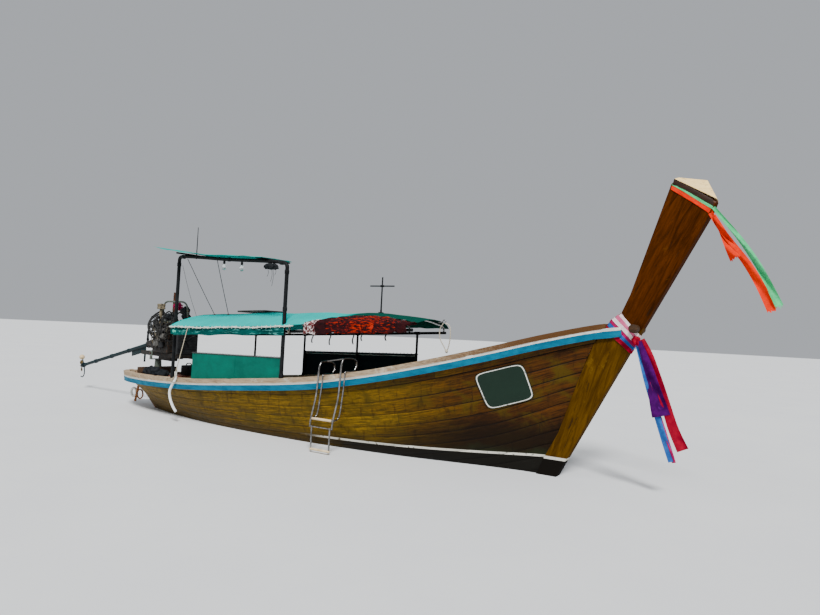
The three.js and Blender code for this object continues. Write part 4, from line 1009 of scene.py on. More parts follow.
def piece(name: str, shape: Shape, finish: Finish, body: Body = Body.BOAT, stands_for: Sequence[str] = (),
        crease: float = 38.0) -> Object:
    """Makes an object of a shape, dresses it and sets it on its body.

    Args:
        name: Its name.
        shape: Its shape in the frame, freed here.
        finish: Its finish.
        body: The body it rides on.
        stands_for: The CAD nodes it replaces.
        crease: The angle past which an edge stays sharp.

    Returns:
        The object.
    """
    bmesh.ops.recalc_face_normals(shape, faces=shape.faces[:])
    for edge in shape.edges:
        edge.smooth = len(edge.link_faces) == 2 and edge.calc_face_angle(0) < math.radians(crease)
    for face in shape.faces:
        face.smooth = True
    mesh = bpy.data.meshes.new(name)
    shape.to_mesh(mesh)
    shape.free()
    mesh.materials.append(finish.material())
    made = linked(name, mesh)
    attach(made, body.value)
    if stands_for:
        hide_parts(*stands_for)
    LOG.info("%s: %d faces on %s", name, len(mesh.polygons), body.value)
    return made


def dressed_node(node: str, finish: Finish) -> None:
    """Gives a CAD node a finish and leaves its shape."""
    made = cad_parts[node]
    made.data.materials.clear()
    made.data.materials.append(finish.material())
    LOG.info("%s: the node itself", node)


def from_node(node: str, flat: float) -> Shape:
    """Returns a CAD node's shape, its faces merged where they turn by less than that many degrees."""
    shape = bmesh.new()
    shape.from_mesh(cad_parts[node].data)
    merge(shape, 2e-5)
    bmesh.ops.dissolve_limit(shape, angle_limit=math.radians(flat), verts=shape.verts[:], edges=shape.edges[:])
    return shape


def rounded_node(node: str, finish: Finish, body: Body, width: float) -> None:
    """Replaces a CAD node by a copy of it, whose edges are rounded by a width."""
    piece(node + "_dressed", round_edges(from_node(node, 1), width, 32), finish, body, (node,))


# ---------------------------------------------------------------- the hull's form


@dataclass(frozen=True, eq=False)
class HullForm:
    """The lines of the hull, which the planks and all that stands on the hull follow."""

    sheer_x: Row = (-5.02, -4.88, -4.5, -3.9, -3.0, -2.0, -0.7, 0.5, 1.5, 2.5, 3.3, 4.0, 4.6, 4.86)
    half: Row = (0.04, 0.205, 0.385, 0.56, 0.74, 0.87, 0.93, 0.94, 0.91, 0.79, 0.6, 0.32, 0.08, 0.079)
    height: Row = (0.59, 0.59, 0.59, 0.6, 0.63, 0.685, 0.795, 0.915, 1.08, 1.305, 1.52, 1.73, 1.88, 1.915)
    ends: Pair = (-4.995, 4.645)
    stern_z: Row = (-0.34, -0.26, -0.12, 0.02, 0.15, 0.33, 0.42, 0.57, 0.64)
    stern_x: Row = (-3.25, -3.6, -3.88, -4.065, -4.235, -4.465, -4.62, -4.94, -5.0)
    stem_z: Row = (-0.34, -0.25, -0.16, 0.0, 0.204, 0.567, 1.258, 1.714, 1.96)
    stem_x: Row = (3.4, 3.6, 3.7, 3.83, 3.918, 4.104, 4.337, 4.51, 4.66)
    places: Row = (0, 0.12, 0.3, 0.5, 0.72, 0.88, 1)
    low_width: Row = (0.3, 0.36, 0.48, 0.52, 0.46, 0.36, 0.33)
    high_width: Row = (0.7, 0.74, 0.8, 0.84, 0.78, 0.7, 0.67)
    low_height: Row = (0.3, 0.18, 0.06, 0.03, 0.06, 0.16, 0.33)
    high_height: Row = (0.66, 0.5, 0.4, 0.37, 0.42, 0.52, 0.67)
    keel_top: float = -0.33
    keel_half: float = 0.035
    white: float = 0.035
    cap: float = 0.062

    def beam(self, x: float) -> float:
        """Returns the half beam at the sheer."""
        return along(self.sheer_x, self.half, x)

    def sheer(self, x: float) -> float:
        """Returns the height of the rub rail's blue edge."""
        return along(self.sheer_x, self.height, x)

    def cap_top(self, x: float) -> float:
        """Returns the height of the top of the gunwale cap."""
        return self.sheer(x) + self.white + self.cap

    @lru_cache(maxsize=None)
    def controls(self, u: float) -> tuple[Sequence[float], Sequence[float]]:
        """Returns the half widths and heights that shape the section at a place along the hull."""
        x = lerp(*self.ends, u)
        top, beam = self.sheer(x) + self.white - 0.001, self.beam(x)
        rise = top - self.keel_top
        widths = (self.keel_half, along(self.places, self.low_width, u) * beam,
            along(self.places, self.high_width, u) * beam, beam)
        heights = (self.keel_top, self.keel_top + along(self.places, self.low_height, u) * rise,
            self.keel_top + along(self.places, self.high_height, u) * rise, top)
        return widths, heights

    def section(self, u: float, v: float) -> Pair:
        """Returns the half width and height at a place along the hull and up its skin."""
        widths, heights = self.controls(u)
        weights = ((1 - v) ** 3, 3 * v * (1 - v) ** 2, 3 * v * v * (1 - v), v ** 3)
        return (max(sum(a * b for a, b in zip(widths, weights)), self.keel_half),
            sum(a * b for a, b in zip(heights, weights)))

    @lru_cache(maxsize=None)
    def reach(self, v: float) -> Pair:
        """Returns the x at which the planks end aft and forward at a place up the skin."""
        return (along(self.stern_z, self.stern_x, self.section(0, v)[1]),
            along(self.stem_z, self.stem_x, self.section(1, v)[1]))

    def skin(self, u: float, v: float, side: int = 1, overrun: float = 0.012) -> Vector:
        """Returns a point of the planks' outer face."""
        y, z = self.section(u, v)
        aft, fore = self.reach(v)
        return Vector((lerp(aft - overrun, fore + overrun, u), side * y, z))

    def under(self, u: float, v: float, depth: float, side: int = 1, overrun: float = 0.012) -> Vector:
        """Returns a point at a depth under the planks' outer face."""
        step = 0.002
        du = self.skin(min(u + step, 1), v, side, overrun) - self.skin(max(u - step, 0), v, side, overrun)
        dv = self.skin(u, min(v + step, 1), side, overrun) - self.skin(u, max(v - step, 0), side, overrun)
        normal = du.cross(dv).normalized()
        if normal.y * side > 0:
            normal.negate()
        return self.skin(u, v, side, overrun) + normal * depth

    def find(self, x: float, z: float, depth: float = 0.0) -> Pair:
        """Returns the place (u, v) under which a point of that x and z lies on port."""
        low, high, u = 0.0, 1.0, 0.5
        for _ in range(24):
            v = (low + high) / 2
            aft, fore = self.skin(0, v).x, self.skin(1, v).x
            u = min(max((x - aft) / (fore - aft), 0), 1)
            if self.under(u, v, depth).z < z:
                low = v
            else:
                high = v
        return u, low

    def half_inside(self, x: float, z: float, depth: float) -> float:
        """Returns the clear half width at a depth under the planks."""
        return self.under(*self.find(x, z, depth), depth).y

    def rail(self, x: float, side: int, out: float, up: float) -> Vector:
        """Returns a point beside the sheer line."""
        return Vector((x, side * max(self.beam(x) + out, 0.004), self.sheer(x) + up))


FORM = HullForm()


@dataclass(frozen=True)
class Studio:
    """The camera at the photograph's place, the pale floor at the waterline and soft lights."""

    camera_at: Triple = (6.63153, -7.87742, 1.78745)
    towards: Triple = (-0.528239, 0.848305, 0.036651)
    upright: Triple = (-0.022316, -0.05702, 0.998124)
    lens: float = 27.04
    floor_half: float = 140.0
    floor_ends: Pair = (-3.98, 3.8)
    floor_depth: float = 0.014
    sky: Colour = (0.90, 0.94, 1.0)
    lamps: tuple[tuple[str, float, float, Point], ...] = (("key", 5.6, 0.24, (0.72, 0.1, 0.55)),
        ("fill", 0.7, 1.2, (1.05, 0.0, -0.7)))

    def set_camera(self) -> None:
        """Places the camera and makes it the scene's."""
        data = bpy.data.cameras.new("photo_camera")
        data.lens, data.sensor_width, data.clip_end = self.lens, 36.0, 300.0
        camera = linked("photo_camera", data)
        back, up = -Vector(self.towards), Vector(self.upright)
        turn = Matrix((up.cross(back), up, back)).transposed().to_4x4()
        camera.matrix_world = Matrix.Translation(self.camera_at) @ turn
        bpy.context.scene.camera = camera

    def set_light(self) -> None:
        """Lays the floor and hangs the lights."""
        def place(u: float, v: float) -> Point:
            """Returns a point of the floor, which stops at the hull."""
            side = -1 if u < 0.5 else 1
            x = lerp(*self.floor_ends, 1 - abs(2 * u - 1))
            y = side * FORM.half_inside(x, 0.0, self.floor_depth) * min(1.0, 120 * min(u, 1 - u))
            turn = 2 * math.pi * u
            far = Vector((-math.cos(turn), -math.sin(turn))) * self.floor_half
            return lerp(x, far.x, v ** 3), lerp(y, far.y, v ** 3), 0.0

        floor = sheet_shape(240, 10, place)
        merge(floor, 1e-5)
        floor.normal_update()
        bmesh.ops.reverse_faces(floor, faces=[f for f in floor.faces if f.normal.z < 0])
        mesh = bpy.data.meshes.new("floor")
        floor.to_mesh(mesh)
        floor.free()
        mesh.materials.append(FLOOR.material())
        ground = linked("floor", mesh)
        for name, power, angle, turn in self.lamps:
            light = bpy.data.lights.new(name, "SUN")
            light.energy, light.angle = power, angle
            linked(name, light).rotation_euler = turn
        world = bpy.data.worlds.new("studio")
        world.use_nodes = True
        background = world.node_tree.nodes["Background"].inputs
        background["Color"].default_value = (*self.sky, 1)
        background["Strength"].default_value = 0.5
        bpy.context.scene.world = world


@dataclass(frozen=True)
class HangingHose:
    """The white hose that hangs outside the gunwale, the boat's one free cord."""

    radius: float = 0.022
    route: tuple[Triple, ...] = ((-2.42, -0.912, 0.87), (-2.425, -0.912, 0.745), (-2.452, -0.925, 0.68),
        (-2.49, -0.938, 0.6), (-2.515, -0.944, 0.52), (-2.505, -0.94, 0.43), (-2.465, -0.935, 0.34),
        (-2.41, -0.93, 0.26), (-2.35, -0.92, 0.19))

    def build(self) -> None:
        path = spline(self.route, 48)
        shift = node_box("side_hose")[0].y - (min(p.y for p in path) - self.radius)
        path = [p + Vector((0, shift, 0)) for p in path]
        made = piece("hanging_hose", tube(path, self.radius, 20), HOSE, stands_for=("side_hose",))
        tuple(path[0])
        line_length(path)


@dataclass(frozen=True)
class Hull:
    """Planks, posts, rails, frames, floor, thwarts and decks."""

    planks: int = 12
    columns: int = 200
    thick: float = 0.028
    groove: float = 0.004
    rib_depth: float = 0.076

    def build(self) -> None:
        """Builds the whole hull."""
        for side in Side:
            self.planking(side)
            self.rails(side)
        self.stem()
        self.posts()
        self.inside()
        self.decks()
        self.sign()

    def planking(self, side: Side) -> None:
        """Makes one side's planks, with a groove at each seam."""
        rows: list[Pair] = []
        for k in range(self.planks):
            for share, deep in ((0.0, 1.0), (0.018, 0.6), (0.045, 0.0), (0.3, -0.25), (0.5, -0.35), (0.7, -0.25),
                    (0.955, 0.0), (0.982, 0.6)):
                rows.append(((k + share) / self.planks, deep * self.groove))
        rows.append((0.9995, 0.0))
        count = len(rows) - 1

        def place(u: float, v: float) -> Vector:
            """Returns a point of the planked skin."""
            row, deep = rows[round(v * count)]
            wave = 0.0012 * ripple(u * 9, row * self.planks, side.value, 0.35)
            return FORM.under(u, row, deep + wave, side.value, -0.003)

        def pattern(u: float, v: float) -> Pair:
            """Returns metres along and the plank's number."""
            row = rows[round(v * count)][0]
            return FORM.skin(u, row).x + 0.37 * side.value, row * self.planks + (0 if side is Side.PORT else 20)

        shape = sheet_shape(self.columns, count, place, pattern)
        if side is Side.PORT:
            bmesh.ops.reverse_faces(shape, faces=shape.faces[:])
        shape.normal_update()
        inner = bmesh.ops.solidify(shape, geom=shape.faces[:], thickness=self.thick)["geom"]
        for face in inner:
            if isinstance(face, bmesh.types.BMFace):
                face.material_index = 1
        word = side.name.lower()
        made = piece(f"planking_{word}", shape, HULL, stands_for=(f"hull_side_{word}", f"hull_bottom_{word}"),
            crease=50)
        made.data.materials.append(INSIDE_WOOD.material())

    def rails(self, side: Side) -> None:
        """Makes one side's blue strake, its white edge and the gunwale cap."""
        word, sign = side.name.lower(), side.value

        def strake(rear: float, front: float, low: float, high: float, inner: float, outer: float) -> Shape:
            """Returns a rounded bar along the sheer."""
            return bent_bar((90, 1, 1),
                lambda u, v, w: FORM.rail(lerp(rear, front, u), sign, lerp(inner, outer, w), lerp(low, high, v)),
                0.006)

        rear, front = -5.035, 4.85
        piece(f"blue_strake_{word}", strake(rear, front, -0.08, -0.001, 0.006, 0.036), BLUE,
            stands_for=(f"rub_rail_{word}",))
        piece(f"white_strake_{word}", strake(rear, front, 0.0, 0.0338, 0.006, 0.040), WHITE)
        reach = [-5.078, -3.4, -1.15, 1.2, 3.1, 4.66]
        lengths = [bent_bar((26, 1, 1),
                lambda u, v, w, a=a, b=b: FORM.rail(lerp(a, b, u), sign, lerp(-0.075, 0.05, w),
                    lerp(0.0355, 0.0968, v)), 0.007)
            for a, b in ((p + 0.001, q - 0.001) for p, q in zip(reach, reach[1:]))]
        piece(f"gunwale_cap_{word}_planks", gathered(*lengths), CAP_WOOD, stands_for=(f"gunwale_cap_{word}",))
        nails = [FORM.rail(-4.7 + 0.23 * k, sign, out, 0.0966) for k in range(38) for out in (-0.045, 0.02)]
        piece(f"cap_nails_{word}", hex_heads(nails, (0, 0, 1), 0.005, 0.0016), RUST)

    def stem(self) -> None:
        """Makes the stem timber, its head with the dark rim and pale top, and the cross log."""
        shape = round_edges(from_node("stem_post", 1.2), 0.012, 40, 3)
        bmesh.ops.triangulate(shape, faces=shape.faces[:])
        made = piece("stem_timber", shape, STEM_WOOD, stands_for=("stem_post",), crease=30)
        made.data.materials.append(HEAD_WOOD.material())
        for face in made.data.polygons:
            x, z = face.center.x, face.center.z
            if z > 2.02 - (x - 4.72) * 0.3:
                face.material_index = 1
        rim = ((5.376, 3.655), (5.834, 3.375), (5.396, 3.74), (5.82, 3.462))
        peak = (rim[2], (rim[3][0] + 0.045, rim[3][1]), (5.43, 3.772), (5.745, 3.712))

        def slab(u: float, v: float, w: float) -> Point:
            """Returns a point of the dark rim."""
            x, z = patch(rim, u, w)
            return x, lerp(-0.108, 0.108, v), z

        def facets(u: float, v: float, w: float) -> Point:
            """Returns a point of the pale top, which narrows upwards."""
            x, z = patch(peak, u, w)
            return x, lerp(-0.103, 0.103, v) * lerp(1, 0.06, w), z

        piece("head_slab", bent_bar((1, 1, 1), slab, 0.008), HEAD_RIM)
        piece("head_facets", bent_bar((1, 1, 1), facets, 0.005), END_GRAIN, crease=20)
        piece("cross_log_turned", rod((5.015, -0.265, 1.935), (5.015, 0.265, 1.935), 0.052, 28, 0.012), DARK_WOOD,
            stands_for=("cross_log",))

    def posts(self) -> None:
        """Dresses the stern post, the keel and the block in the bow."""
        rounded_node("stern_post", HULL_POST, Body.BOAT, 0.006)
        dressed_node("keel", BOTTOM)
        dressed_node("bow_block", DARK_WOOD)

    def inside(self) -> None:
        """Makes the floor boards and thwarts and dresses the frames."""
        for node in ("frames_aft", "frames_middle", "frames_fore"):
            dressed_node(node, DARK_WOOD)
        low, high = node_box("floor_boards")
        depth = self.rib_depth + 0.014
        level = low.z, high.z
        floor = boards(8, (low.x, high.x), lambda x: FORM.half_inside(x, level[0], depth),
            lambda x, share: lerp(*level, share))
        piece("floor_planks", floor, DARK_WOOD, stands_for=("floor_boards",))
        for k in (1, 2, 3):
            low, high = node_box(f"thwart_{k}")
            middle = (low.x + high.x) / 2
            planks = [bar((a, low.y, low.z), (b, high.y, high.z), 0.006)
                for a, b in ((low.x, middle - 0.003), (middle + 0.003, high.x))]
            piece(f"thwart_{k}_planks", gathered(*planks), CAP_WOOD, stands_for=(f"thwart_{k}",))

    def decks(self) -> None:
        """Makes the planks of the stern deck."""
        ends = (-4.83, -3.42)
        rise = 0.62 - FORM.cap_top(ends[0])
        deck = boards(7, ends, lambda x: max(FORM.beam(x) - 0.08, 0.02),
            lambda x, share: FORM.cap_top(x) + rise + 0.03 * share)
        piece("stern_deck_planks", settled(deck, "stern_deck"), DECK_WOOD, stands_for=("stern_deck",))

    def sign(self) -> None:
        """Fixes the blank sign plate to the starboard bow."""
        corners = ((3.254, 0.788), (3.823, 0.983), (3.101, 1.252), (3.696, 1.445))

        def square(u: float, v: float) -> Pair:
            """Returns a grid point drawn into a rounded square from -1 to 1."""
            a, b = 2 * u - 1, 2 * v - 1
            reach = (abs(a) ** SQUARENESS + abs(b) ** SQUARENESS) ** (1 / SQUARENESS)
            grow = max(abs(a), abs(b)) / max(reach, 1e-6)
            return a * grow, b * grow

        def place(u: float, v: float) -> Vector:
            """Returns a point of the plate on the skin."""
            x, z = patch(corners, *((c + 1) / 2 for c in square(u, v)))
            return FORM.under(*FORM.find(x, z), -0.006, Side.STARBOARD.value)

        piece("blank_sign_plate", thickened(sheet_shape(28, 20, place, square), 0.004), SIGN)


@dataclass(frozen=True)
class Ribbons:
    """The sash on the stem and the streamers at the head."""

    rear: tuple[Pair, ...] = ((4.104, 0.567), (4.337, 1.258), (4.51, 1.714), (4.721, 2.038), (4.84, 2.129),
        (4.939, 2.354), (5.13, 2.944), (5.29, 3.44), (5.365, 3.67), (5.4, 3.725))
    front: tuple[Pair, ...] = ((4.37, 0.53), (4.72, 1.2), (4.96, 1.67), (5.1, 1.945), (5.185, 2.11), (5.3, 2.33),
        (5.59, 2.895), (5.79, 3.28), (5.835, 3.385), (5.862, 3.45))
    halves: Row = (0.075, 0.076, 0.078, 0.08, 0.084, 0.09, 0.098, 0.104, 0.106, 0.074)
    boxy: int = 9

    def edge(self, table: Sequence[Point], line: Callable[[float], float]) -> Triple:
        """Returns where an edge of the stem crosses a line in the side view.

        Args:
            table: The edge's points, rising.
            line: The height of the line at an x.

        Returns:
            The x, the z and the stem's half thickness there.
        """
        for i in range(len(table) - 1):
            (xa, za), (xb, zb) = table[i], table[i + 1]
            a, b = za - line(xa), zb - line(xb)
            if a <= 0 <= b or i == len(table) - 2:
                t = min(max(a / (a - b), 0.0), 1.0)
                return lerp(xa, xb, t), lerp(za, zb, t), lerp(self.halves[i], self.halves[i + 1], t)
        raise ValueError("the line misses the stem")

    def band(self, name: str, finish: Finish, low: float, high: float, at: float, slope: float, proud: float,
            stands_for: Sequence[str] = ()) -> None:
        """Winds one band round the stem.

        Args:
            name: Its name.
            finish: Its finish.
            low: The height of its lower edge at the x called at.
            high: The height of its upper edge there.
            at: That x.
            slope: How fast it drops forward.
            proud: How far it stands off the wood.
            stands_for: The CAD nodes it replaces.
        """
        def place(u: float, v: float) -> Point:
            """Returns a point of the band, with its folds."""
            height = lerp(low, high, v)
            xr, zr, half_r = self.edge(self.rear, lambda x: height - slope * (x - at))
            xf, zf, half_f = self.edge(self.front, lambda x: height - slope * (x - at))
            out = proud + 0.003 * ripple(u * 4, v * 2.5, low * 9, 0.18)
            middle, length = (xr + xf) / 2, (xf - xr) / 2 + out
            turn = 2 * math.pi * u
            c, s = math.cos(turn), math.sin(turn)
            grow = (abs(c) ** self.boxy + abs(s) ** self.boxy) ** (-1 / self.boxy)
            x = middle + length * c * grow
            t = (c * grow + 1) / 2
            half = lerp(half_r, half_f, t) + out
            return x, half * s * grow, lerp(zr, zf, t) + 0.004 * math.sin(turn * 3 + low * 40)

        shape = sheet_shape(96, 6, place, lambda u, v: (u * 1.1, v * (high - low)))
        merge(shape)
        piece(name, thickened(shape, 0.003), finish, stands_for=stands_for)

    def strip(self, name: str, finish: Finish, points: Sequence[Point], width: Pair, flutter: float, seed: float,
            stands_for: Sequence[str] = (), frayed: float = 0.0) -> None:
        """Hangs one ribbon.

        Args:
            name: Its name.
            finish: Its finish.
            points: The line it follows.
            width: Its width at its start and at its end.
            flutter: How far it waves out of its plane.
            seed: What makes its waves its own.
            stands_for: The CAD nodes it replaces.
            frayed: How ragged its end is.
        """
        steps = 56
        path = spline(points, steps)
        reach = line_length(path)

        def place(u: float, v: float) -> Vector:
            """Returns a point of the ribbon."""
            i = round(u * steps)
            run = (path[min(i + 1, steps)] - path[max(i - 1, 0)]).normalized()
            across = Vector((run.z, 0, -run.x)).normalized()
            c = v - 0.5
            wide = lerp(*width, u)
            fold = flutter * math.sin(u * 9 + c * 4 + seed) * smooth_step(0, 0.3, u)
            fold += 0.25 * wide * math.sin(c * 5 + u * 6 + seed * 2) * 0.35
            ragged = frayed * ripple(v * 3, seed, 0, 0.16) * smooth_step(0.9, 1.0, u)
            return path[i] + across * c * wide + Vector((0, fold, 0)) + run * ragged

        shape = sheet_shape(steps, 12, place, lambda u, v: (u * reach, v * width[1]))
        made = piece(name, thickened(shape, 0.0012), finish, stands_for=stands_for, crease=70)
        mean = sum(width) / 2
        "sash_wrap" if "sash" in name else "head_wrap"

    def build(self) -> None:
        """Winds the bands and hangs the ribbons."""
        self.band("head_green_band", GREEN_RIBBON, 3.648, 3.686, 5.4, 0.735, 0.010)
        self.band("head_orange_band", ORANGE, 3.593, 3.655, 5.4, 0.78, 0.008, ("head_wrap",))
        colours = (WHITE_RIBBON, PINK, WHITE_RIBBON, MAGENTA, BLUE_RIBBON, CRIMSON)
        for k, finish in enumerate(colours):
            base = 1.985 - 0.062 * k
            self.band(f"sash_band_{k + 1}", finish, base, base + 0.07, 4.9, 1.25 - 0.05 * k,
                0.008 + 0.0022 * (k % 3), ("sash_wrap",) if k == 0 else ())
        knot = gathered(ball((5.035, -0.128, 1.795), (0.055, 0.04, 0.05), 4, 0.02, 0.03),
            ball((5.075, -0.15, 1.765), (0.035, 0.03, 0.04), 4, 0.015, 0.025))
        piece("sash_knot", knot, CRIMSON)
        foot = node_box("sash_tails")
        drop = Vector((0, (foot[0].y + foot[1].y) / 2 + 0.195, 0))
        plain: tuple[str, ...] = ()
        tails = (("sash_tail_blue", BLUE_RIBBON, (0.06, 0.08), plain,
                ((5.045, -0.165, 1.80), (5.12, -0.2, 1.56), (5.185, -0.205, 1.33), (5.285, -0.2, 1.0),
                    (5.38, -0.195, 0.71), (5.485, -0.19, 0.42))),
            ("sash_tail_purple", PURPLE, (0.05, 0.2), ("sash_tails",),
                ((5.08, -0.19, 1.79), (5.15, -0.205, 1.6), (5.215, -0.215, 1.42), (5.29, -0.215, 1.17),
                    (5.355, -0.21, 0.93))),
            ("sash_tail_magenta", MAGENTA, (0.04, 0.05), plain,
                ((5.07, -0.16, 1.77), (5.16, -0.18, 1.45), (5.25, -0.185, 1.15), (5.37, -0.18, 0.8),
                    (5.505, -0.18, 0.41))),
            ("sash_tail_crimson", CRIMSON, (0.07, 0.13), plain,
                ((5.10, -0.165, 1.81), (5.20, -0.18, 1.63), (5.30, -0.185, 1.36), (5.405, -0.185, 1.04),
                    (5.49, -0.18, 0.79), (5.595, -0.18, 0.565))))
        for k, (name, finish, width, nodes, points) in enumerate(tails):
            self.strip(name, finish, [Vector(p) + drop for p in points], width, 0.012, k * 1.7, nodes)
        streamers = (("head_tail_orange", ORANGE, (0.05, 0.1), 0.018, 0.5, ("head_tail",), 0.05,
                ((5.80, -0.13, 3.30), (5.90, -0.14, 3.13), (6.02, -0.15, 2.95), (6.19, -0.145, 2.70),
                    (6.325, -0.14, 2.45), (6.44, -0.14, 2.19))),
            ("head_tail_green", GREEN_RIBBON, (0.04, 0.08), 0.018, 0.8, plain, 0.05,
                ((5.83, -0.13, 3.36), (5.96, -0.14, 3.19), (6.10, -0.142, 3.0), (6.275, -0.14, 2.72),
                    (6.40, -0.135, 2.47), (6.505, -0.13, 2.24))),
            ("head_tail_flap", ORANGE, (0.03, 0.13), 0.03, 2.6, plain, 0.04,
                ((5.84, -0.14, 3.27), (5.93, -0.165, 3.08), (6.0, -0.17, 2.93), (6.075, -0.165, 2.77))))
        for name, finish, width, flutter, seed, nodes, frayed, points in streamers:
            self.strip(name, finish, points, width, flutter, seed, nodes, frayed)


@dataclass(frozen=True)
class Canopy:
    """The low canopy: rails, bows, cloth, curtain, stowed jackets and side panels."""

    rail_x: Row = (-2.61, -1.07, 0.13, 1.36, 2.3)
    rail_half: Row = (0.8, 0.85, 0.87, 0.86, 0.83)
    rail_z: Row = (1.54, 1.61, 1.674, 1.741, 1.79)
    cloth_x: Row = (-2.56, -1.5, 0.0, 1.3, 2.3)
    crown: Row = (1.9, 1.965, 2.005, 2.03, 1.94)
    eave: Row = (1.665, 1.695, 1.765, 1.84, 1.86)
    folded_x: Row = (-2.56, 0.25, 0.9, 1.5, 2.0, 2.3)
    folded: Row = (0.985, 0.985, 0.64, 0.47, 0.56, 0.7)
    cloth_half: float = 0.985
    bows: Row = (-2.4, -1.07, 0.13, 1.2, 1.86)
    posts: Row = (-2.3, -1.07, 0.13, 1.36)
    rail_r: float = 0.022
    front_port: float = 1.9
    front_starboard: float = 2.3
    edge_wave: float = 9.5

    def top(self, x: float, y: float) -> float:
        """Returns the height of the canopy's formed surface."""
        crown, eave = along(self.cloth_x, self.crown, x), along(self.cloth_x, self.eave, x)
        return crown - (crown - eave) * (y / self.cloth_half) ** 2

    def edge(self, x: float) -> float:
        """Returns how far the cloth reaches to starboard."""
        return along(self.folded_x, self.folded, x)

    def rail_at(self, x: float, side: int) -> Vector:
        """Returns a point of a side rail."""
        return Vector((x, side * along(self.rail_x, self.rail_half, x), along(self.rail_x, self.rail_z, x)))

    def cloth_top(self, x: float, y: float) -> float:
        """Returns the height of the cloth as it lies on the bows, with its sags."""
        drop = node_box("canopy_cloth")[1].z - 2.031
        sag = 0.0
        for a, b in zip(self.bows, self.bows[1:]):
            if a < x < b:
                sag = 0.016 * (b - a) * math.sin(math.pi * (x - a) / (b - a)) ** 2
        crease = 0.006 * ripple(x * 1.2, y * 3, 0, 0.5) + 0.003 * ripple(x * 4, y * 7, 3, 0.4)
        return self.top(x, y) + drop - sag * (1 - 0.5 * abs(y)) + crease

    def build(self) -> None:
        """Builds the canopy and what hangs on it."""
        self.frame()
        self.cloth()
        self.curtain()
        self.jackets()
        self.panels()
        self.trim()

    def frame(self) -> None:
        """Makes the rails, posts and bows."""
        rail = [self.rail_at(lerp(self.rail_x[0], self.front_port, i / 40), 1) for i in range(41)]
        parts = [tube(rail, self.rail_r, 18)]
        for x in self.posts:
            foot, head = self.rail_at(x, 1), self.rail_at(x, 1)
            foot.z = FORM.cap_top(x) - 0.001
            parts += [rod(foot, head, 0.02, 18),
                turned(((0, 0), (0.045, 0), (0.045, 0.006), (0.026, 0.012), (0.024, 0.05), (0, 0.05)), foot, head)]
            parts.append(rod(head - Vector((0.05, 0, 0)), head + Vector((0.05, 0, 0.002)), 0.0265, 18, 0.002))
        piece("port_rail_and_posts", gathered(*parts), PIPE, stands_for=("port_side_frame",))
        start = node_box("starboard_rail")[0].x
        rail = [self.rail_at(lerp(start, self.front_starboard, i / 40), -1) for i in range(41)]
        piece("starboard_rail_pipe", tube(rail, self.rail_r, 18), PIPE, stands_for=("starboard_rail",))
        arches = []
        for x in self.bows:
            half = abs(self.rail_at(x, 1).y)
            arch = [(x, (i / 4) * half * 0.93, self.top(x, (i / 4) * half * 0.93) - 0.03) for i in range(-4, 5)]
            foot = self.rail_at(x, 1).z + self.rail_r + 0.002
            knee = lerp(foot, arch[0][2], 0.55)
            arches.append(
                pipe([(x, -half, foot), (x, -half, knee), *arch, (x, half, knee), (x, half, foot)], 60, 0.0145, 12))
        ridge = [(x, 0, self.top(x, 0) - 0.033) for x in (lerp(-2.46, 1.92, i / 6) for i in range(7))]
        arches.append(pipe(ridge, 40, 0.0125, 12))
        piece("canopy_hoops", settled(gathered(*arches), "canopy_bows"), STEEL_PAINTED_DARK_REFLECTION, stands_for=("canopy_bows",))

    def cloth(self) -> None:
        """Lays the cloth over the bows."""
        def place(u: float, v: float) -> Point:
            """Returns a point of the cloth."""
            x = lerp(self.cloth_x[0], lerp(self.front_starboard, self.front_port - 0.02, v), u)
            y = lerp(-self.edge(x), self.cloth_half, v)
            near = smooth_step(0.93, 1.0, v) + smooth_step(0.07, 0.0, v)
            scallop = 0.010 * abs(math.sin(x * self.edge_wave)) * near
            return x, y, self.cloth_top(x, y) - scallop

        shape = sheet_shape(150, 70, place, lambda u, v: (u * 4.9, v * 2.1))
        area = open_area(shape)
        made = piece("canopy_sheet", thickened(shape, 0.002), CANOPY, stands_for=("canopy_cloth",), crease=60)

    def curtain(self) -> None:
        """Hangs the folded valance on the starboard edge."""
        drop = node_box("side_curtain")[1].z - (self.top(0.11, self.cloth_half) - 0.011)
        ends = (-2.54, 0.11)

        def place(u: float, v: float) -> Point:
            """Returns a point of the valance, with its folds."""
            x = lerp(*ends, u)
            fold = 0.012 * math.sin(x * 21 + 1.4 * math.sin(x * 3)) * v + 0.006 * ripple(x, v, 0, 0.12)
            low = 0.15 - 0.02 * abs(math.sin(x * 4.1)) + 0.012 * ripple(x, 0, 5, 0.3)
            return x, -0.978 + fold, self.top(x, self.cloth_half) + drop - 0.012 - v * low

        shape = sheet_shape(220, 14, place, lambda u, v: (u * 2.7, v * 0.15))
        area = open_area(shape)
        # The valance's finish holds painted shade in its dark green.
        made = piece("side_valance", thickened(shape, 0.0016), VALANCE_PAINTED_SHADE, stands_for=("side_curtain",), crease=70)
        rim = []
        for i in range(151):
            x = lerp(-2.555, 0.3, i / 150)
            wave = 0.008 * abs(math.sin(x * self.edge_wave))
            rim.append(Vector((x, -0.988, self.cloth_top(x, -self.cloth_half) - 0.012 - wave)))
        piece("pale_edge_hem", tube(rim, lambda s: 0.011 + 0.003 * math.sin(s * 80), 10), PALE_RIM)

    def jackets(self) -> None:
        """Stows the folded jackets over the forward starboard rail."""
        rise = node_box("stowed_jackets")[1].z - (self.top(1.6, 0.45) + 0.042)
        ends = [0.5, 0.72, 0.9, 1.12, 1.33, 1.56, 1.74, 1.96, 2.14, 2.28]
        finishes = (SCRAPS, JACKET_DARK, JACKET_MIXED, JACKET_MIXED, JACKET_RED, JACKET_RED, JACKET_MIXED,
            JACKET_MIXED, JACKET_DARK)
        for k, finish in enumerate(finishes):
            a, b = ends[k] - 0.012, ends[k + 1] + 0.012

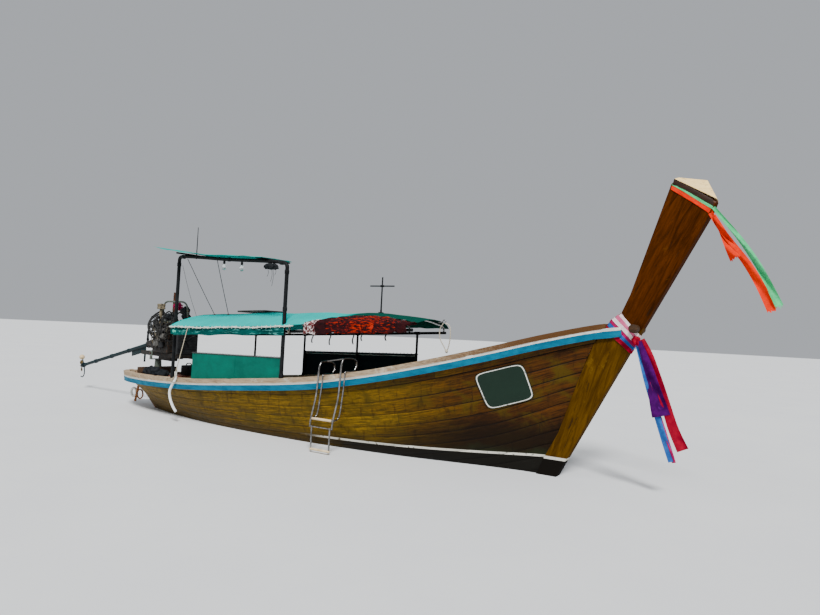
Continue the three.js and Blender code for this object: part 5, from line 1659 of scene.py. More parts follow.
            def place(u: float, v: float, w: float, a: float = a, b: float = b, k: int = k) -> Point:
                """Returns a point of one folded jacket."""
                x = min(max(lerp(a, b, u) + 0.03 * math.sin(v * 6 + k * 1.7), 0.5), 2.28)
                start = -self.edge(x) - 0.022
                y = lerp(start, -self.cloth_half + 0.042, min(v / 0.6, 1))
                base = self.top(x, y) + rise - 0.012
                puff = math.sin(math.pi * u) ** 0.5 * math.sin(math.pi * min(max(v, 0.03), 0.97)) ** 0.35
                crease = ripple(x * 3, v * 2, k, 0.3) + 0.7 * abs(ripple(x * 5 + v * 2, v * 4, k + 9, 0.5))
                thick = 0.012 + 0.03 * puff + 0.013 * crease
                drop = max(v - 0.6, 0) / 0.4
                low = self.rail_at(x, 1).z - 0.045 - 0.035 * ripple(x * 3, k * 0.7, 2, 0.5)
                inner_z = lerp(base - 0.014, low, drop)
                outer_y = max(y - w * (0.03 + 0.012 * crease), -0.99) - drop * 0.006 * w
                outer_z = lerp(base - 0.014 + thick, low, drop)
                lean = 0.06 * (v - 0.5) * math.sin(k * 2.1)
                return x + lean * math.sin(math.pi * u), lerp(y, outer_y, w), lerp(inner_z, outer_z, w)

            nodes = () if k else ("stowed_jackets",)
            made = piece(f"stowed_jacket_{k + 1}", bent_bar((14, 26, 3), place), finish, stands_for=nodes,
                crease=80)
            soften = made.modifiers.new("rounding", "SUBSURF")
            soften.levels = soften.render_levels = 1

    def side_sheet(self, name: str, finish: Finish, ends: Pair, side: int, yat: Callable[[float, float], float],
            tops: Pair, node: str) -> None:
        """Stretches one side panel between the rail of the gunwale and its top line.

        Args:
            name: Its name.
            finish: Its finish.
            ends: Where it starts and ends.
            side: The sign of its side.
            yat: Its distance from the middle at an x and a share of the way.
            tops: The height of its top at each end.
            node: The CAD node it stands for.
        """
        def place(u: float, v: float) -> Point:
            """Returns a point of the panel."""
            x = lerp(*ends, u)
            foot = FORM.cap_top(x) + 0.002
            bow = 0.006 * math.sin(math.pi * v) * ripple(x * 2, v * 2, side, 0.8)
            top = lerp(*tops, u) - 0.005 * abs(math.sin(x * 14))
            return x, side * (yat(x, u) + 0.006 + bow), lerp(foot, top, v)

        shape = sheet_shape(110, 18, place, lambda u, v: (u * (ends[1] - ends[0]), v * 0.42))
        area = open_area(shape)
        made = piece(name, thickened(shape, 0.002), finish, stands_for=(node,), crease=60)
        line = [Vector((x, side * (yat(x, u) + 0.006), lerp(*tops, u) - 0.003))
            for x, u in ((lerp(*ends, i / 80), i / 80) for i in range(81))]
        piece(name + "_top_rope", tube(line, 0.008, 10), DARK_ROPE)
        lacing, turns, steps, reach = [], 34, 480, 0.016
        for i in range(steps + 1):
            u = i / steps
            x, turn = lerp(*ends, u), u * 2 * math.pi * turns
            lacing.append(Vector((x, side * (yat(x, u) + 0.006 + reach * math.cos(turn)),
                        lerp(*tops, u) - 0.003 + reach * math.sin(turn))))
        piece(name + "_lacing", tube(lacing, 0.0035, 6), DARK_ROPE)
        if side > 0:
            piece(name + "_hem", moved(tube(line[1:-1], 0.0065, 8), Matrix.Translation((0, 0, -0.034))), PALE_RIM)

    def panels(self) -> None:
        """Makes the green panel to starboard and the black one to port."""
        self.side_sheet("green_side_sheet", GREEN_SHEET, (-2.09, 0.028), -1,
            lambda x, u: lerp(0.845, 0.893, u) - 0.012, (1.221, 1.269), "green_panel")
        self.side_sheet("black_side_sheet", BLACK_SHEET, (-1.08, 1.37), 1,
            lambda x, u: along(self.rail_x, self.rail_half, x) + 0.0209, (1.303, 1.398), "black_panel")
        seam = [Vector((-1.02, -0.869, lerp(FORM.cap_top(-1.02) + 0.003, 1.235, i / 20))) for i in range(21)]
        piece("green_sheet_seam", tube(seam, 0.005, 8, 0.4), GREEN_SHEET)

    def trim(self) -> None:
        """Adds lashings, ties, straps, the ridge hook with its rope loop and the mint bag."""
        lashings = []
        for x in (*self.bows, -1.7, -0.45, 0.66):
            at = self.rail_at(x, -1)
            for k in range(4):
                ring = [
                    at + Vector((0.010 * k - 0.015, 0.026 * math.cos(t), 0.026 * math.sin(t))) for t in angles(16)]
                lashings.append(loop_tube(ring, 0.004, 6))
        piece("rail_lashings", gathered(*lashings), ROPE)
        ties = []
        for i in range(30):
            x = -2.5 + i * 0.094
            at = Vector((x, -0.99, self.cloth_top(x, -self.cloth_half) - 0.015))
            ring = [
                at + Vector((0.006 * math.cos(t), 0.004 * math.sin(t), 0.022 * math.sin(t))) for t in angles(12)]
            ties.append(loop_tube(ring, 0.003, 6))
        piece("edge_ties", gathered(*ties), PALE_RIM)
        rng = random.Random(7)
        for k, x in enumerate((0.62, 0.95, 1.36, 1.5, 1.9)):
            at = self.rail_at(x, -1)
            long = 0.12 + 0.1 * rng.random()
            lean = 0.03 * (rng.random() - 0.5)

            def place(u: float, v: float, at: Vector = at, long: float = long, lean: float = lean) -> Point:
                """Returns a point of one hanging strap."""
                return (at.x + (v - 0.5) * 0.024 + lean * u + 0.006 * math.sin(u * 7),
                    at.y - 0.025 + 0.006 * math.sin(u * 5 + at.x), at.z - 0.02 - long * u)

            piece(f"hanging_strap_{k + 1}",
                thickened(sheet_shape(14, 3, place, lambda u, v: (u * 0.2, v * 0.024)), 0.0015), STRAP, crease=60)
        tip = Vector((2.29, 0, self.cloth_top(2.29, 0)))
        hook = spline([tip + Vector(p)
                for p in ((-0.06, 0, -0.02), (0.0, 0, -0.012), (0.03, 0, 0.02), (0.06, 0, 0.0), (0.045, 0, -0.03))],
            30)
        piece("ridge_hook", tube(hook, 0.008, 12), STEEL_PAINTED_DARK_REFLECTION)
        loop = spline([tip + Vector(p)
                for p in ((0.045, 0.0, -0.022), (0.12, 0.0, -0.06), (0.15, -0.01, -0.2), (0.13, -0.01, -0.36),
                    (0.10, -0.01, -0.43), (0.05, -0.01, -0.36), (-0.02, -0.005, -0.25), (-0.03, 0.0, -0.12),
                    (0.02, 0.0, -0.03))], 70)
        piece("ridge_rope_loop", tube(loop, 0.0075, 8), ROPE)
        piece("ridge_knot", ball(tip + Vector((0.10, -0.01, -0.43)), (0.022, 0.02, 0.026), 3, 0.006, 0.02), ROPE)
        bag = ball((-2.42, -0.955, 1.56), (0.075, 0.035, 0.055), 4, 0.014, 0.05)
        piece("mint_bag", bag, MINT, crease=80)


@dataclass(frozen=True)
class TallFrame:
    """The tall pipe frame on the starboard side, with the awning and what hangs from it."""

    aft: Triple = (-2.64, -0.8, 2.89)
    fore: Triple = (0.06, -0.9224, 2.72)
    corner: float = 0.11
    radius: float = 0.03
    sticks: Pair = (-2.35, -0.45)
    sleeve: float = 0.036
    collar: float = 0.0355

    def bar_at(self, x: float) -> Vector:
        """Returns a point of the top bar."""
        return Vector(self.aft).lerp(Vector(self.fore), (x - self.aft[0]) / (self.fore[0] - self.aft[0]))

    def build(self) -> None:
        """Builds the frame."""
        self.pipes()
        self.awning()
        self.hanging()

    def pipes(self) -> None:
        """Makes the legs, the bar with its elbows, the sticks and the aerial."""
        for name, (x, y, z), node in (("aft", self.aft, "tall_leg_aft"), ("fore", self.fore, "tall_leg_fore")):
            foot, head = Vector((x, y, FORM.cap_top(x) + 0.0004)), Vector((x, y, z - self.corner))
            long = Vector((0, 0, 0.06))
            parts = [rod(foot, head, self.radius, 24), rod(head - long, head, self.sleeve, 24, 0.003),
                rod(foot, foot + long, self.sleeve, 24, 0.003),
                rod(foot + Vector((0, 0, 1.02)), foot + Vector((0, 0, 1.08)), self.collar, 24, 0.003)]
            piece(f"tall_leg_{name}_pipe", gathered(*parts), PIPE, stands_for=(node,))
        (ax, ay, az), (fx, fy, fz), c = self.aft, self.fore, self.corner
        line = spline([(ax, ay, az - c), (ax, ay, az - c * 0.5), (ax + c * 0.2, ay, az - c * 0.14),
                self.bar_at(ax + c * 0.6), self.bar_at((ax + fx) / 2), self.bar_at(fx - c * 0.6),
                (fx - c * 0.2, fy, fz - c * 0.14), (fx, fy, fz - c * 0.5), (fx, fy, fz - c)], 90)
        parts = [tube(line, self.radius, 24)]
        for x in (ax + 0.12, fx - 0.12, -1.3):
            parts.append(rod(self.bar_at(x - 0.03), self.bar_at(x + 0.03), self.collar, 24, 0.003))
        for x in self.sticks:
            z = self.bar_at(x).z + self.radius + 0.011
            parts.append(
                pipe([(x, -1.09, z), (x, -0.75, z + 0.003), (x, -0.33, z)], 24, lambda s: 0.014 - 0.001 * s, 12))
        foot = self.bar_at(-2.12) + Vector((0, -self.radius - 0.004, -0.03))
        parts.append(rod(foot, foot + Vector((0, 0, 0.55)), 0.009, 12, 0.002, end_radius=0.0055))
        piece("tall_bar_pipe", gathered(*parts), PIPE, stands_for=("tall_top_bar",))

    def awning(self) -> None:
        """Lays the small awning on the sticks."""
        low, high = node_box("upper_awning")

        def place(u: float, v: float) -> Point:
            """Returns a point of the awning, slack between its sticks and torn at its ends."""
            torn = 0.05 * ripple(v * 4, 0, round(u) * 9, 0.5) * (abs(u - 0.5) > 0.47)
            x = lerp(low.x + 0.18, high.x - 0.2, u) + torn
            base = self.bar_at(x).z + self.radius + 0.034 + 0.07 * smooth_step(-2.2, -3.1, x)
            aft, fore = self.sticks
            slack = 0.012 * math.sin(math.pi * (x - aft) / (fore - aft)) if aft < x < fore else 0.0
            flap = 0.004 * math.sin(x * 5 + v * 3) + 0.006 * ripple(x * 2, v * 2, 1, 0.5)
            edge = 0.012 * smooth_step(0.9, 1.0, abs(2 * v - 1)) * (1 + math.sin(x * 11)) / 2
            return x, lerp(low.y, high.y - 0.08 * u, v), base - slack + flap - edge

        shape = sheet_shape(110, 34, place, lambda u, v: (u * 3.02, v * 0.78))
        made = piece("small_awning", thickened(shape, 0.002), AWNING, stands_for=("upper_awning",), crease=60)

    def hanging(self) -> None:
        """Hangs the net, the bulbs, the stays and the light rope."""
        low, high = node_box("net_bundle")
        middle = (low + high) / 2
        size = (high - low) / 2
        net = gathered(ball(middle, size, 5, 0.016, 0.035),
            ball(middle + Vector((0.09, 0, -0.03)), size * 0.5, 4, 0.012, 0.03))
        piece("net_bundle_folds", net, NET, stands_for=("net_bundle",), crease=80)
        strings = []
        for dx, long in ((0.02, 0.2), (0.05, 0.27), (-0.06, 0.12), (0.1, 0.1)):
            start = middle + Vector((dx, 0, -size.z * 0.8))
            strings.append(pipe(
                    [start, start + Vector((0.01, 0.005, -long * 0.5)), start + Vector((-0.01, 0, -long))], 14,
                    0.003, 6))
        piece("net_strings", gathered(*strings), DARK_ROPE)
        for k, x in enumerate((-1.42, -0.98)):
            at = self.bar_at(x) + Vector((0, 0.002, -self.radius))
            piece(f"bulb_holder_{k + 1}",
                turned(((0, 0), (0.018, 0.0), (0.02, 0.03), (0.017, 0.05), (0, 0.05)), at, at - Vector((0, 0, 1))),
                TANK)
            piece(f"bulb_{k + 1}",
                turned(((0, 0.05), (0.016, 0.051), (0.02, 0.06), (0.034, 0.085), (0.038, 0.11), (0.03, 0.138),
                        (0.015, 0.15), (0, 0.153)), at, at - Vector((0, 0, 1))), BULB)
        stays = []
        for start, end in ((-2.41, -2.17), (-1.60, -1.81)):
            a = self.bar_at(start) - Vector((0, 0, self.radius))
            b = Vector((end, -0.35, CANOPY_PART.cloth_top(end, -0.35) + 0.004))
            stays.append(pipe([a, a.lerp(b, 0.5) - Vector((0, 0, 0.008)), b], 24, 0.0055, 8))
            stays.append(ball(b, (0.02, 0.02, 0.012), 3, 0.003, 0.02))
        piece("canopy_stays", gathered(*stays), DARK_ROPE)
        start = Vector((-2.06, -0.995, CANOPY_PART.cloth_top(-2.06, -CANOPY_PART.cloth_half) - 0.02))
        end = Vector((-2.42, -0.93, FORM.cap_top(-2.42) + 0.005))
        line = spline([start, start.lerp(end, 0.5) + Vector((0.01, -0.015, -0.03)), end], 30)
        piece("light_rope", tube(line, 0.0065, 8), ROPE)
        wrap = [end + Vector((0.0, 0.075 * math.cos(t) + 0.02, 0.045 * math.sin(t) - 0.033)) for t in angles(20)]
        piece("light_rope_hitch", loop_tube(wrap, 0.0065, 8), ROPE)
        thin = self.bar_at(-2.6) + Vector((0.02, 0.03, -0.15))
        piece("thin_line",
            pipe([thin, thin + Vector((0.08, 0.12, -0.5)), thin + Vector((0.12, 0.3, -0.96))], 20, 0.003, 6),
            DARK_ROPE)


CANOPY_PART = Canopy()


@dataclass(frozen=True)
class RoofFittings:
    """The cross mast and the solar panel on the canopy."""

    x: float = 1.2

    def build(self) -> None:
        """Builds both."""
        low, high = node_box("cross_mast")
        foot = Vector((self.x, 0, low.z))
        arm = low.z + 0.42
        parts = [turned(
                ((0, 0), (0.045, 0), (0.045, 0.004), (0.04, 0.012), (0.016, 0.016), (0.014, 0.05), (0, 0.05)), foot,
                foot + Vector((0, 0, 1))), rod(foot, (self.x, 0, high.z), 0.013, 16, 0.002, end_radius=0.011),
            rod((low.x, 0, arm), (high.x, 0, arm), 0.0104, 14, 0.002),
            rod((self.x - 0.03, 0, arm), (self.x + 0.03, 0, arm), 0.017, 16, 0.002)]
        piece("cross_mast_pipe", gathered(*parts), PIPE, stands_for=("cross_mast",))
        low, high = node_box("solar_panel")

        def slab(inset: float, base: float, top: float) -> Shape:
            """Returns a flat slab that follows the canopy."""
            def place(u: float, v: float, w: float) -> Point:
                """Returns a point of the slab."""
                rise = CANOPY_PART.top(lerp(low.x, high.x, u), 0) + low.z - CANOPY_PART.top(low.x, 0)
                return (lerp(low.x + inset, high.x - inset, u), lerp(low.y + inset, high.y - inset, v),
                    rise + lerp(base, top, w))
            return bent_bar((8, 1, 1), place, 0.002)

        piece("solar_frame", slab(0.0, 0.0, 0.026), ALLOY, stands_for=("solar_panel",))
        piece("solar_cells", slab(0.022, 0.02, 0.028), SOLAR)


@dataclass(frozen=True)
class Engine:
    """The engine on its swivel, with its long tail, laid out in the frame of its trunnion."""

    pivot: Triple = (-4.15, 0.0, 1.08)
    yaw: float = -9.7
    root: Triple = (-0.42, 0.0, 0.157)
    slope: float = 11.5
    tail: float = 3.4
    bores: Row = tuple(0.17 + 0.14 * k for k in range(4))
    belt_wheels: tuple[tuple[Point, Point], ...] = (((0, 0.16, 0.08), (-2.6, 0.1)), ((0, 0.42, 0.055), (0.1, 1.9)),
        ((-0.2, 0.36, 0.035), (1.9, 3.7)))

    def unit(self) -> Matrix:
        """Returns the transform from the trunnion's frame to the boat's."""
        return Matrix.Translation(self.pivot) @ Matrix.Rotation(math.radians(self.yaw), 4, "Z")

    def shaft(self) -> Matrix:
        """Returns the transform from the tail's frame to the boat's."""
        return self.unit() @ Matrix.Translation(self.root) @ Matrix.Rotation(math.radians(-self.slope), 4, "Y")

    def add(self, name: str, finish: Finish, *shapes: Shape, stands_for: Sequence[str] = ()) -> None:
        """Makes a piece from shapes in the trunnion's frame."""
        piece(name, moved(gathered(*shapes), self.unit()), finish, Body.ENGINE, stands_for)

    def add_tail(self, name: str, finish: Finish, *shapes: Shape, stands_for: Sequence[str] = (),
            body: Body = Body.ENGINE) -> None:
        """Makes a piece from shapes in the tail's frame."""
        piece(name, moved(gathered(*shapes), self.shaft()), finish, body, stands_for)

    def build(self) -> None:
        """Builds the engine and its tail."""
        rounded_node("engine_beam", DARK_WOOD, Body.BOAT, 0.008)
        rounded_node("swivel_yoke", GREY_GREEN, Body.SWIVEL, 0.003)
        rounded_node("engine_frame", IRON, Body.ENGINE, 0.004)
        self.block()
        self.air_and_exhaust()
        self.front_end()
        self.pipes()
        self.loose_gear()
        self.guard()
        self.long_tail()
        self.propeller()

    def block(self) -> None:
        """Makes the block, head and gearbox with their ribs and bolts."""
        self.add("engine_crankcase", IRON, bar((0.08, -0.185, 0.0355), (0.70, 0.185, 0.43), 0.014),
            bar((0.14, -0.078, -0.12), (0.64, 0.078, 0.045), 0.02),
            *ribs((0.12, -0.192, 0.08), (0.15, 0.192, 0.4), (0.14, 0, 0), 4, 0.006),
            bar((0.075, -0.195, 0.4), (0.705, 0.195, 0.424), 0.006), stands_for=("engine_block",))
        self.add("cylinder_head_block", IRON, bar((0.095, -0.12, 0.4304), (0.685, 0.12, 0.6), 0.01),
            *ribs((0.13, -0.128, 0.45), (0.19, 0.128, 0.56), (0.145, 0, 0), 4, 0.008),
            stands_for=("cylinder_head",))
        self.add("valve_cover", GREY_GREEN, bar((0.15, -0.075, 0.598), (0.64, 0.075, 0.655), 0.02),
            *ribs((0.2, -0.06, 0.65), (0.215, 0.06, 0.664), (0.11, 0, 0), 4, 0.004))
        bolts = [(0.17 + 0.09 * k, y, 0.6) for k in range(6) for y in (-0.098, 0.098)]
        self.add("head_bolts", ALLOY, hex_heads(bolts, (0, 0, 1), 0.013, 0.014),
            hex_heads([(0.3, 0, 0.664), (0.52, 0, 0.664)], (0, 0, 1), 0.014, 0.02),
            turned(((0, 0), (0.028, 0), (0.03, 0.02), (0.02, 0.026), (0, 0.026)), (0.59, 0.03, 0.65),
                (0.59, 0.03, 1)))
        self.add("bell_and_gearbox", IRON,
            turned(((0, 0), (0.13, 0), (0.15, 0.012), (0.15, 0.03), (0.143, 0.05), (0.14, 0.138), (0, 0.138)),
                (0.0796, 0, 0.19), (-1, 0, 0.19)),
            turned(((0, 0), (0.12, 0), (0.124, 0.01), (0.118, 0.03), (0.09, 0.2), (0.086, 0.25), (0.07, 0.33),
                    (0.076, 0.335), (0.076, 0.357), (0, 0.357)), (-0.05, 0, 0.19), (-0.408, 0, 0.161)),
            bar((-0.2, -0.006, 0.0), (-0.07, 0.006, 0.095), 0.002), stands_for=("gearbox",))
        ring = [(0.04, 0.147 * math.cos(t), 0.19 + 0.147 * math.sin(t)) for t in angles(10)]
        self.add("bell_bolts", ALLOY, hex_heads(ring, (-1, 0, 0), 0.009, 0.02))

    def air_and_exhaust(self) -> None:
        """Makes the exhaust with its stack, the intake and the air filter."""
        ports = [pipe([(x, 0.12, 0.5), (x, 0.165, 0.49), (x, 0.2, 0.4)], 12, 0.022, 12) for x in self.bores]
        self.add("exhaust_and_stack", SOOT, bar((0.12, 0.1855, 0.33), (0.64, 0.243, 0.398), 0.014),
            pipe([(0.4, 0.215, 0.38), (0.39, 0.215, 0.52), (0.23, 0.185, 0.66), (0.2, 0.165, 0.8),
                    (0.2, 0.165, 1.23)], 60, 0.027, 20),
            rod((0.2, 0.165, 0.86), (0.2, 0.165, 0.9), 0.034, 20, 0.004),
            rod((0.2, 0.165, 1.14), (0.2, 0.165, 1.16), 0.032, 20, 0.003), stands_for=("exhaust",))
        self.add("exhaust_ports", SOOT, *ports)
        self.add("intake_runners", ALLOY,
            pipe([(0.13, -0.205, 0.48), (0.4, -0.21, 0.485), (0.63, -0.205, 0.48)], 20, 0.034, 16),
            *(pipe([(x, -0.12, 0.53), (x, -0.165, 0.53), (x, -0.195, 0.49)], 10, 0.02, 12) for x in self.bores))
        self.add("air_filter_can", FILTER, rod((0.19, -0.1, 0.6004), (0.19, -0.1, 0.89), 0.03, 20),
            turned(((0, 0), (0.07, 0), (0.078, 0.006), (0.078, 0.03), (0.074, 0.034), (0.074, 0.07), (0.078, 0.074),
                    (0.078, 0.098), (0.06, 0.105), (0.02, 0.107), (0.016, 0.112), (0, 0.112)), (0.19, -0.1, 0.88),
                (0.19, -0.1, 2)), stands_for=("air_filter",))
        self.add("air_hose", RUBBER,
            pipe([(0.19, -0.13, 0.72), (0.24, -0.2, 0.7), (0.3, -0.235, 0.6), (0.32, -0.22, 0.5)], 30,
                lambda s: 0.028 + 0.002 * math.sin(s * 150), 14))

    def front_end(self) -> None:
        """Makes the tank, pulleys, belt, fan, generator and pumps."""
        self.add("cooling_tank_shell", TANK, bar((0.93, -0.205, 0.0355), (1.125, 0.205, 0.52), 0.018),
            *ribs((0.926, -0.17, 0.09), (1.129, 0.17, 0.105), (0, 0, 0.05), 8, 0.004),
            turned(((0, 0), (0.032, 0), (0.034, 0.03), (0.02, 0.036), (0, 0.036)), (1.02, 0.12, 0.515),
                (1.02, 0.12, 1)), stands_for=("cooling_tank",))

        def pulley(y: float, z: float, r: float) -> Shape:
            """Returns a grooved pulley ahead of the block."""
            return turned(((0, 0), (r, 0), (r, 0.004), (r * 0.86, 0.013), (r, 0.022), (r, 0.026), (r * 0.5, 0.027),
                    (r * 0.4, 0.02), (0, 0.02)), (0.715, y, z), (2, y, z))

        self.add("pulleys", IRON, pulley(0, 0.16, 0.085), pulley(0, 0.42, 0.06), pulley(-0.2, 0.36, 0.038),
            rod((0.68, 0, 0.16), (0.73, 0, 0.16), 0.03), rod((0.68, 0, 0.42), (0.8, 0, 0.42), 0.024),
            rod((0.6, -0.2, 0.36), (0.73, -0.2, 0.36), 0.012))
        belt = []
        for (y, z, r), arc in self.belt_wheels:
            belt += [Vector((0.728, y + r * math.cos(t), z + r * math.sin(t)))
                for t in (lerp(*arc, k / 8) for k in range(9))]
        self.add("fan_belt", RUBBER, loop_tube(belt, 0.006, 8))
        blades = []
        for k in range(6):
            turn = Matrix.Translation((0.80, 0, 0.42)) @ Matrix.Rotation(k * math.pi / 3, 4, "X")
            blades.append(moved(thickened(sheet_shape(6, 4,
                            lambda u, v: (0.03 * (v - 0.5) + 0.01 * u, lerp(-0.02, 0.035, v) * (1 + u * 0.6),
                                lerp(0.02, 0.155, u))), 0.003), turn))
        self.add("fan", FILTER, *blades,
            turned(((0, 0), (0.03, 0), (0.03, 0.02), (0, 0.024)), (0.79, 0, 0.42), (2, 0, 0.42)))
        self.add("generator", ALLOY,
            turned(((0, 0), (0.05, 0), (0.056, 0.01), (0.056, 0.045), (0.05, 0.05), (0.056, 0.055), (0.056, 0.1),
                    (0.045, 0.115), (0, 0.115)), (0.585, -0.245, 0.36), (2, -0.245, 0.36)),
            bar((0.6, -0.22, 0.3), (0.63, -0.18, 0.4), 0.004))
        self.add("fuel_pump", ALLOY, bar((0.26, -0.262, 0.16), (0.46, -0.184, 0.26), 0.012),
            *(rod((0.285 + 0.05 * k, -0.222, 0.25), (0.285 + 0.05 * k, -0.222, 0.30), 0.013, 12, 0.003)
                for k in range(4)))
        self.add("oil_filter", TANK,
            turned(((0, 0), (0.045, 0), (0.047, 0.01), (0.047, 0.1), (0.03, 0.115), (0, 0.115)),
                (0.55, -0.235, 0.24), (0.55, -0.235, 0)))

    def pipes(self) -> None:
        """Makes the tiller, the riser pipe and the small pipes, hoses and wires."""
        self.add("tiller_bar", PIPE,
            pipe([(1.1255, -0.06, 0.3), (1.18, -0.06, 0.302), (1.27, -0.06, 0.335), (1.4, -0.06, 0.385),
                    (1.53, -0.06, 0.405)], 50, 0.0158, 16), stands_for=("tiller",))
        self.add("tiller_grip", RUBBER,
            pipe([(1.42, -0.06, 0.39), (1.48, -0.06, 0.399), (1.529, -0.06, 0.4048)], 30,
                lambda s: 0.0185 + 0.001 * math.sin(s * 120), 16))
        self.add("riser_pipe_bend", PIPE,
            pipe([(-0.505, 0, 0.1875), (-0.505, 0, 0.4), (-0.47, 0, 0.48), (-0.39, 0, 0.53), (-0.06, 0, 0.545),
                    (0.094, 0, 0.545)], 70, 0.021, 18),
            *(rod((-0.505, 0, z), (-0.505, 0, z + 0.035), 0.0265, 18, 0.003) for z in (0.24, 0.385)),
            rod((-0.38, 0, 0.531), (-0.34, 0, 0.5335), 0.0265, 18, 0.003), stands_for=("riser_pipe",))
        lines = [pipe([(0.285 + 0.05 * k, -0.222, 0.3), (0.285 + 0.05 * k, -0.25, 0.4), (x, -0.17, 0.6),
                    (x, -0.05, 0.63)], 30, 0.004, 6) for k, x in enumerate(self.bores)]
        self.add("fuel_lines", ALLOY, *lines)
        self.add("water_hoses", RUBBER,
            pipe([(0.67, 0.06, 0.55), (0.76, 0.07, 0.6), (0.87, 0.1, 0.57), (0.935, 0.1, 0.47)], 34, 0.021, 14),
            pipe([(0.69, 0.12, 0.14), (0.78, 0.16, 0.1), (0.87, 0.16, 0.11), (0.94, 0.13, 0.14)], 30, 0.021, 14),
            pipe([(-0.3, 0.05, 0.53), (-0.2, 0.13, 0.46), (0.0, 0.16, 0.44), (0.12, 0.17, 0.47)], 36, 0.014, 12))
        wires = []
        for k, (a, b) in enumerate((((0.62, -0.25, 0.41), (1.0, -0.2, 0.3)),
                    ((0.6, -0.28, 0.33), (0.2, -0.2, 0.12)), ((0.35, 0.05, 0.66), (0.98, 0.02, 0.52)),
                    ((0.1, -0.15, 0.35), (-0.2, -0.1, 0.26)), ((0.9, -0.12, 0.53), (0.45, -0.14, 0.62)),
                    ((0.3, 0.2, 0.42), (0.93, 0.18, 0.4)))):
            a, b = Vector(a), Vector(b)
            dip = Vector((0.03 * math.sin(k * 2.3), -0.04 + 0.02 * k % 0.05, -0.07 - 0.01 * k))
            wires.append(pipe([a, a.lerp(b, 0.35) + dip, a.lerp(b, 0.7) + dip * 0.8, b], 30, 0.005, 7))
        self.add("wires", RUBBER, *wires)

    def loose_gear(self) -> None:
        """Makes the hoses, wires, rags and coils that crowd the engine."""
        routes = (
            ((0.6, -0.18, 0.3), (0.56, -0.27, 0.5), (0.5, -0.2, 0.74), (0.44, -0.05, 0.84), (0.4, 0.06, 0.64)),
            ((0.3, -0.18, 0.2), (0.2, -0.31, 0.42), (0.08, -0.24, 0.66), (0.12, -0.06, 0.78), (0.3, 0.0, 0.65)),
            ((0.07, -0.1, 0.3), (-0.06, -0.22, 0.5), (-0.02, -0.18, 0.7), (0.12, -0.04, 0.84), (0.34, -0.05, 0.65)),
            ((0.68, 0.05, 0.5), (0.8, -0.05, 0.66), (0.74, -0.12, 0.82), (0.62, -0.1, 0.8), (0.5, 0.0, 0.65)),
            ((0.96, -0.15, 0.51), (0.9, -0.2, 0.68), (0.94, -0.1, 0.83), (1.03, -0.015, 0.8)),
            ((0.1, 0.05, 0.55), (0.05, -0.12, 0.66), (0.2, -0.24, 0.62), (0.42, -0.25, 0.5), (0.5, -0.18, 0.36)))
        self.add("loose_hoses", RUBBER,
            *(pipe(route, 44, 0.012 + 0.003 * (k % 3), 12) for k, route in enumerate(routes)))
        rng = random.Random(23)
        dark, pale = [], []
        for k in range(26):
            a = Vector((rng.uniform(0.08, 0.7), -0.18, rng.uniform(0.1, 0.42)))
            b = Vector((rng.uniform(0.0, 0.95), rng.uniform(-0.1, 0.06), rng.uniform(0.55, 0.66)))
            out = Vector((rng.uniform(-0.12, 0.12), -rng.uniform(0.05, 0.14), rng.uniform(0.0, 0.2)))
            if b.x > 0.68:
                b = Vector((rng.uniform(0.94, 1.0), rng.uniform(-0.15, 0.05), 0.51))
            line = spline([a, a.lerp(b, 0.3) + out, a.lerp(b, 0.7) + out * 1.1 + Vector((0, 0, 0.06)), b], 26)
            (pale if k % 5 == 0 else dark).append(tube(line, 0.0045 + 0.0015 * (k % 3), 7))
        self.add("dark_wires", RUBBER, *dark)
        self.add("pale_wires", FILTER, *pale)
        rags = [ball((0.92, 0.01, 0.86), (0.12, 0.075, 0.075), 4, 0.035, 0.05),
            ball((0.99, 0.0, 0.76), (0.075, 0.07, 0.1), 4, 0.03, 0.045),
            ball((0.3, 0.02, 0.72), (0.15, 0.085, 0.075), 4, 0.035, 0.05)]
        self.add("tied_rags", NET, *rags)
        self.add("coil_cans", TANK,
            *(turned(((0, 0), (0.034, 0), (0.036, 0.008), (0.036, 0.1), (0.02, 0.112), (0.014, 0.13), (0, 0.131)),
                    start, end)
                for start, end in (((0.6, -0.06, 0.66), (0.66, -0.08, 1.2)),
                    ((0.12, -0.19, 0.44), (0.08, -0.24, 0.9)), ((0.45, -0.2, 0.46), (0.46, -0.24, 0.9)))))
        self.add("expansion_tank", TANK, bar((0.95, -0.18, 0.519), (1.10, -0.03, 0.665), 0.014),
            turned(((0, 0), (0.026, 0), (0.028, 0.024), (0, 0.03)), (1.02, -0.11, 0.663), (1.02, -0.11, 2)))
        loops = []
        for k in range(4):
            middle, wide = Vector((0.06 - 0.012 * k, -0.17 - 0.012 * k, 0.56 - 0.015 * k)), 0.085 + 0.008 * k
            loops.append(loop_tube([middle
                        + Vector((wide * math.cos(t), 0.02 * math.sin(2 * t), wide * math.sin(t)))
                        for t in angles(28)], 0.008, 8))
        self.add("hung_rope_coil", DARK_ROPE, *loops)

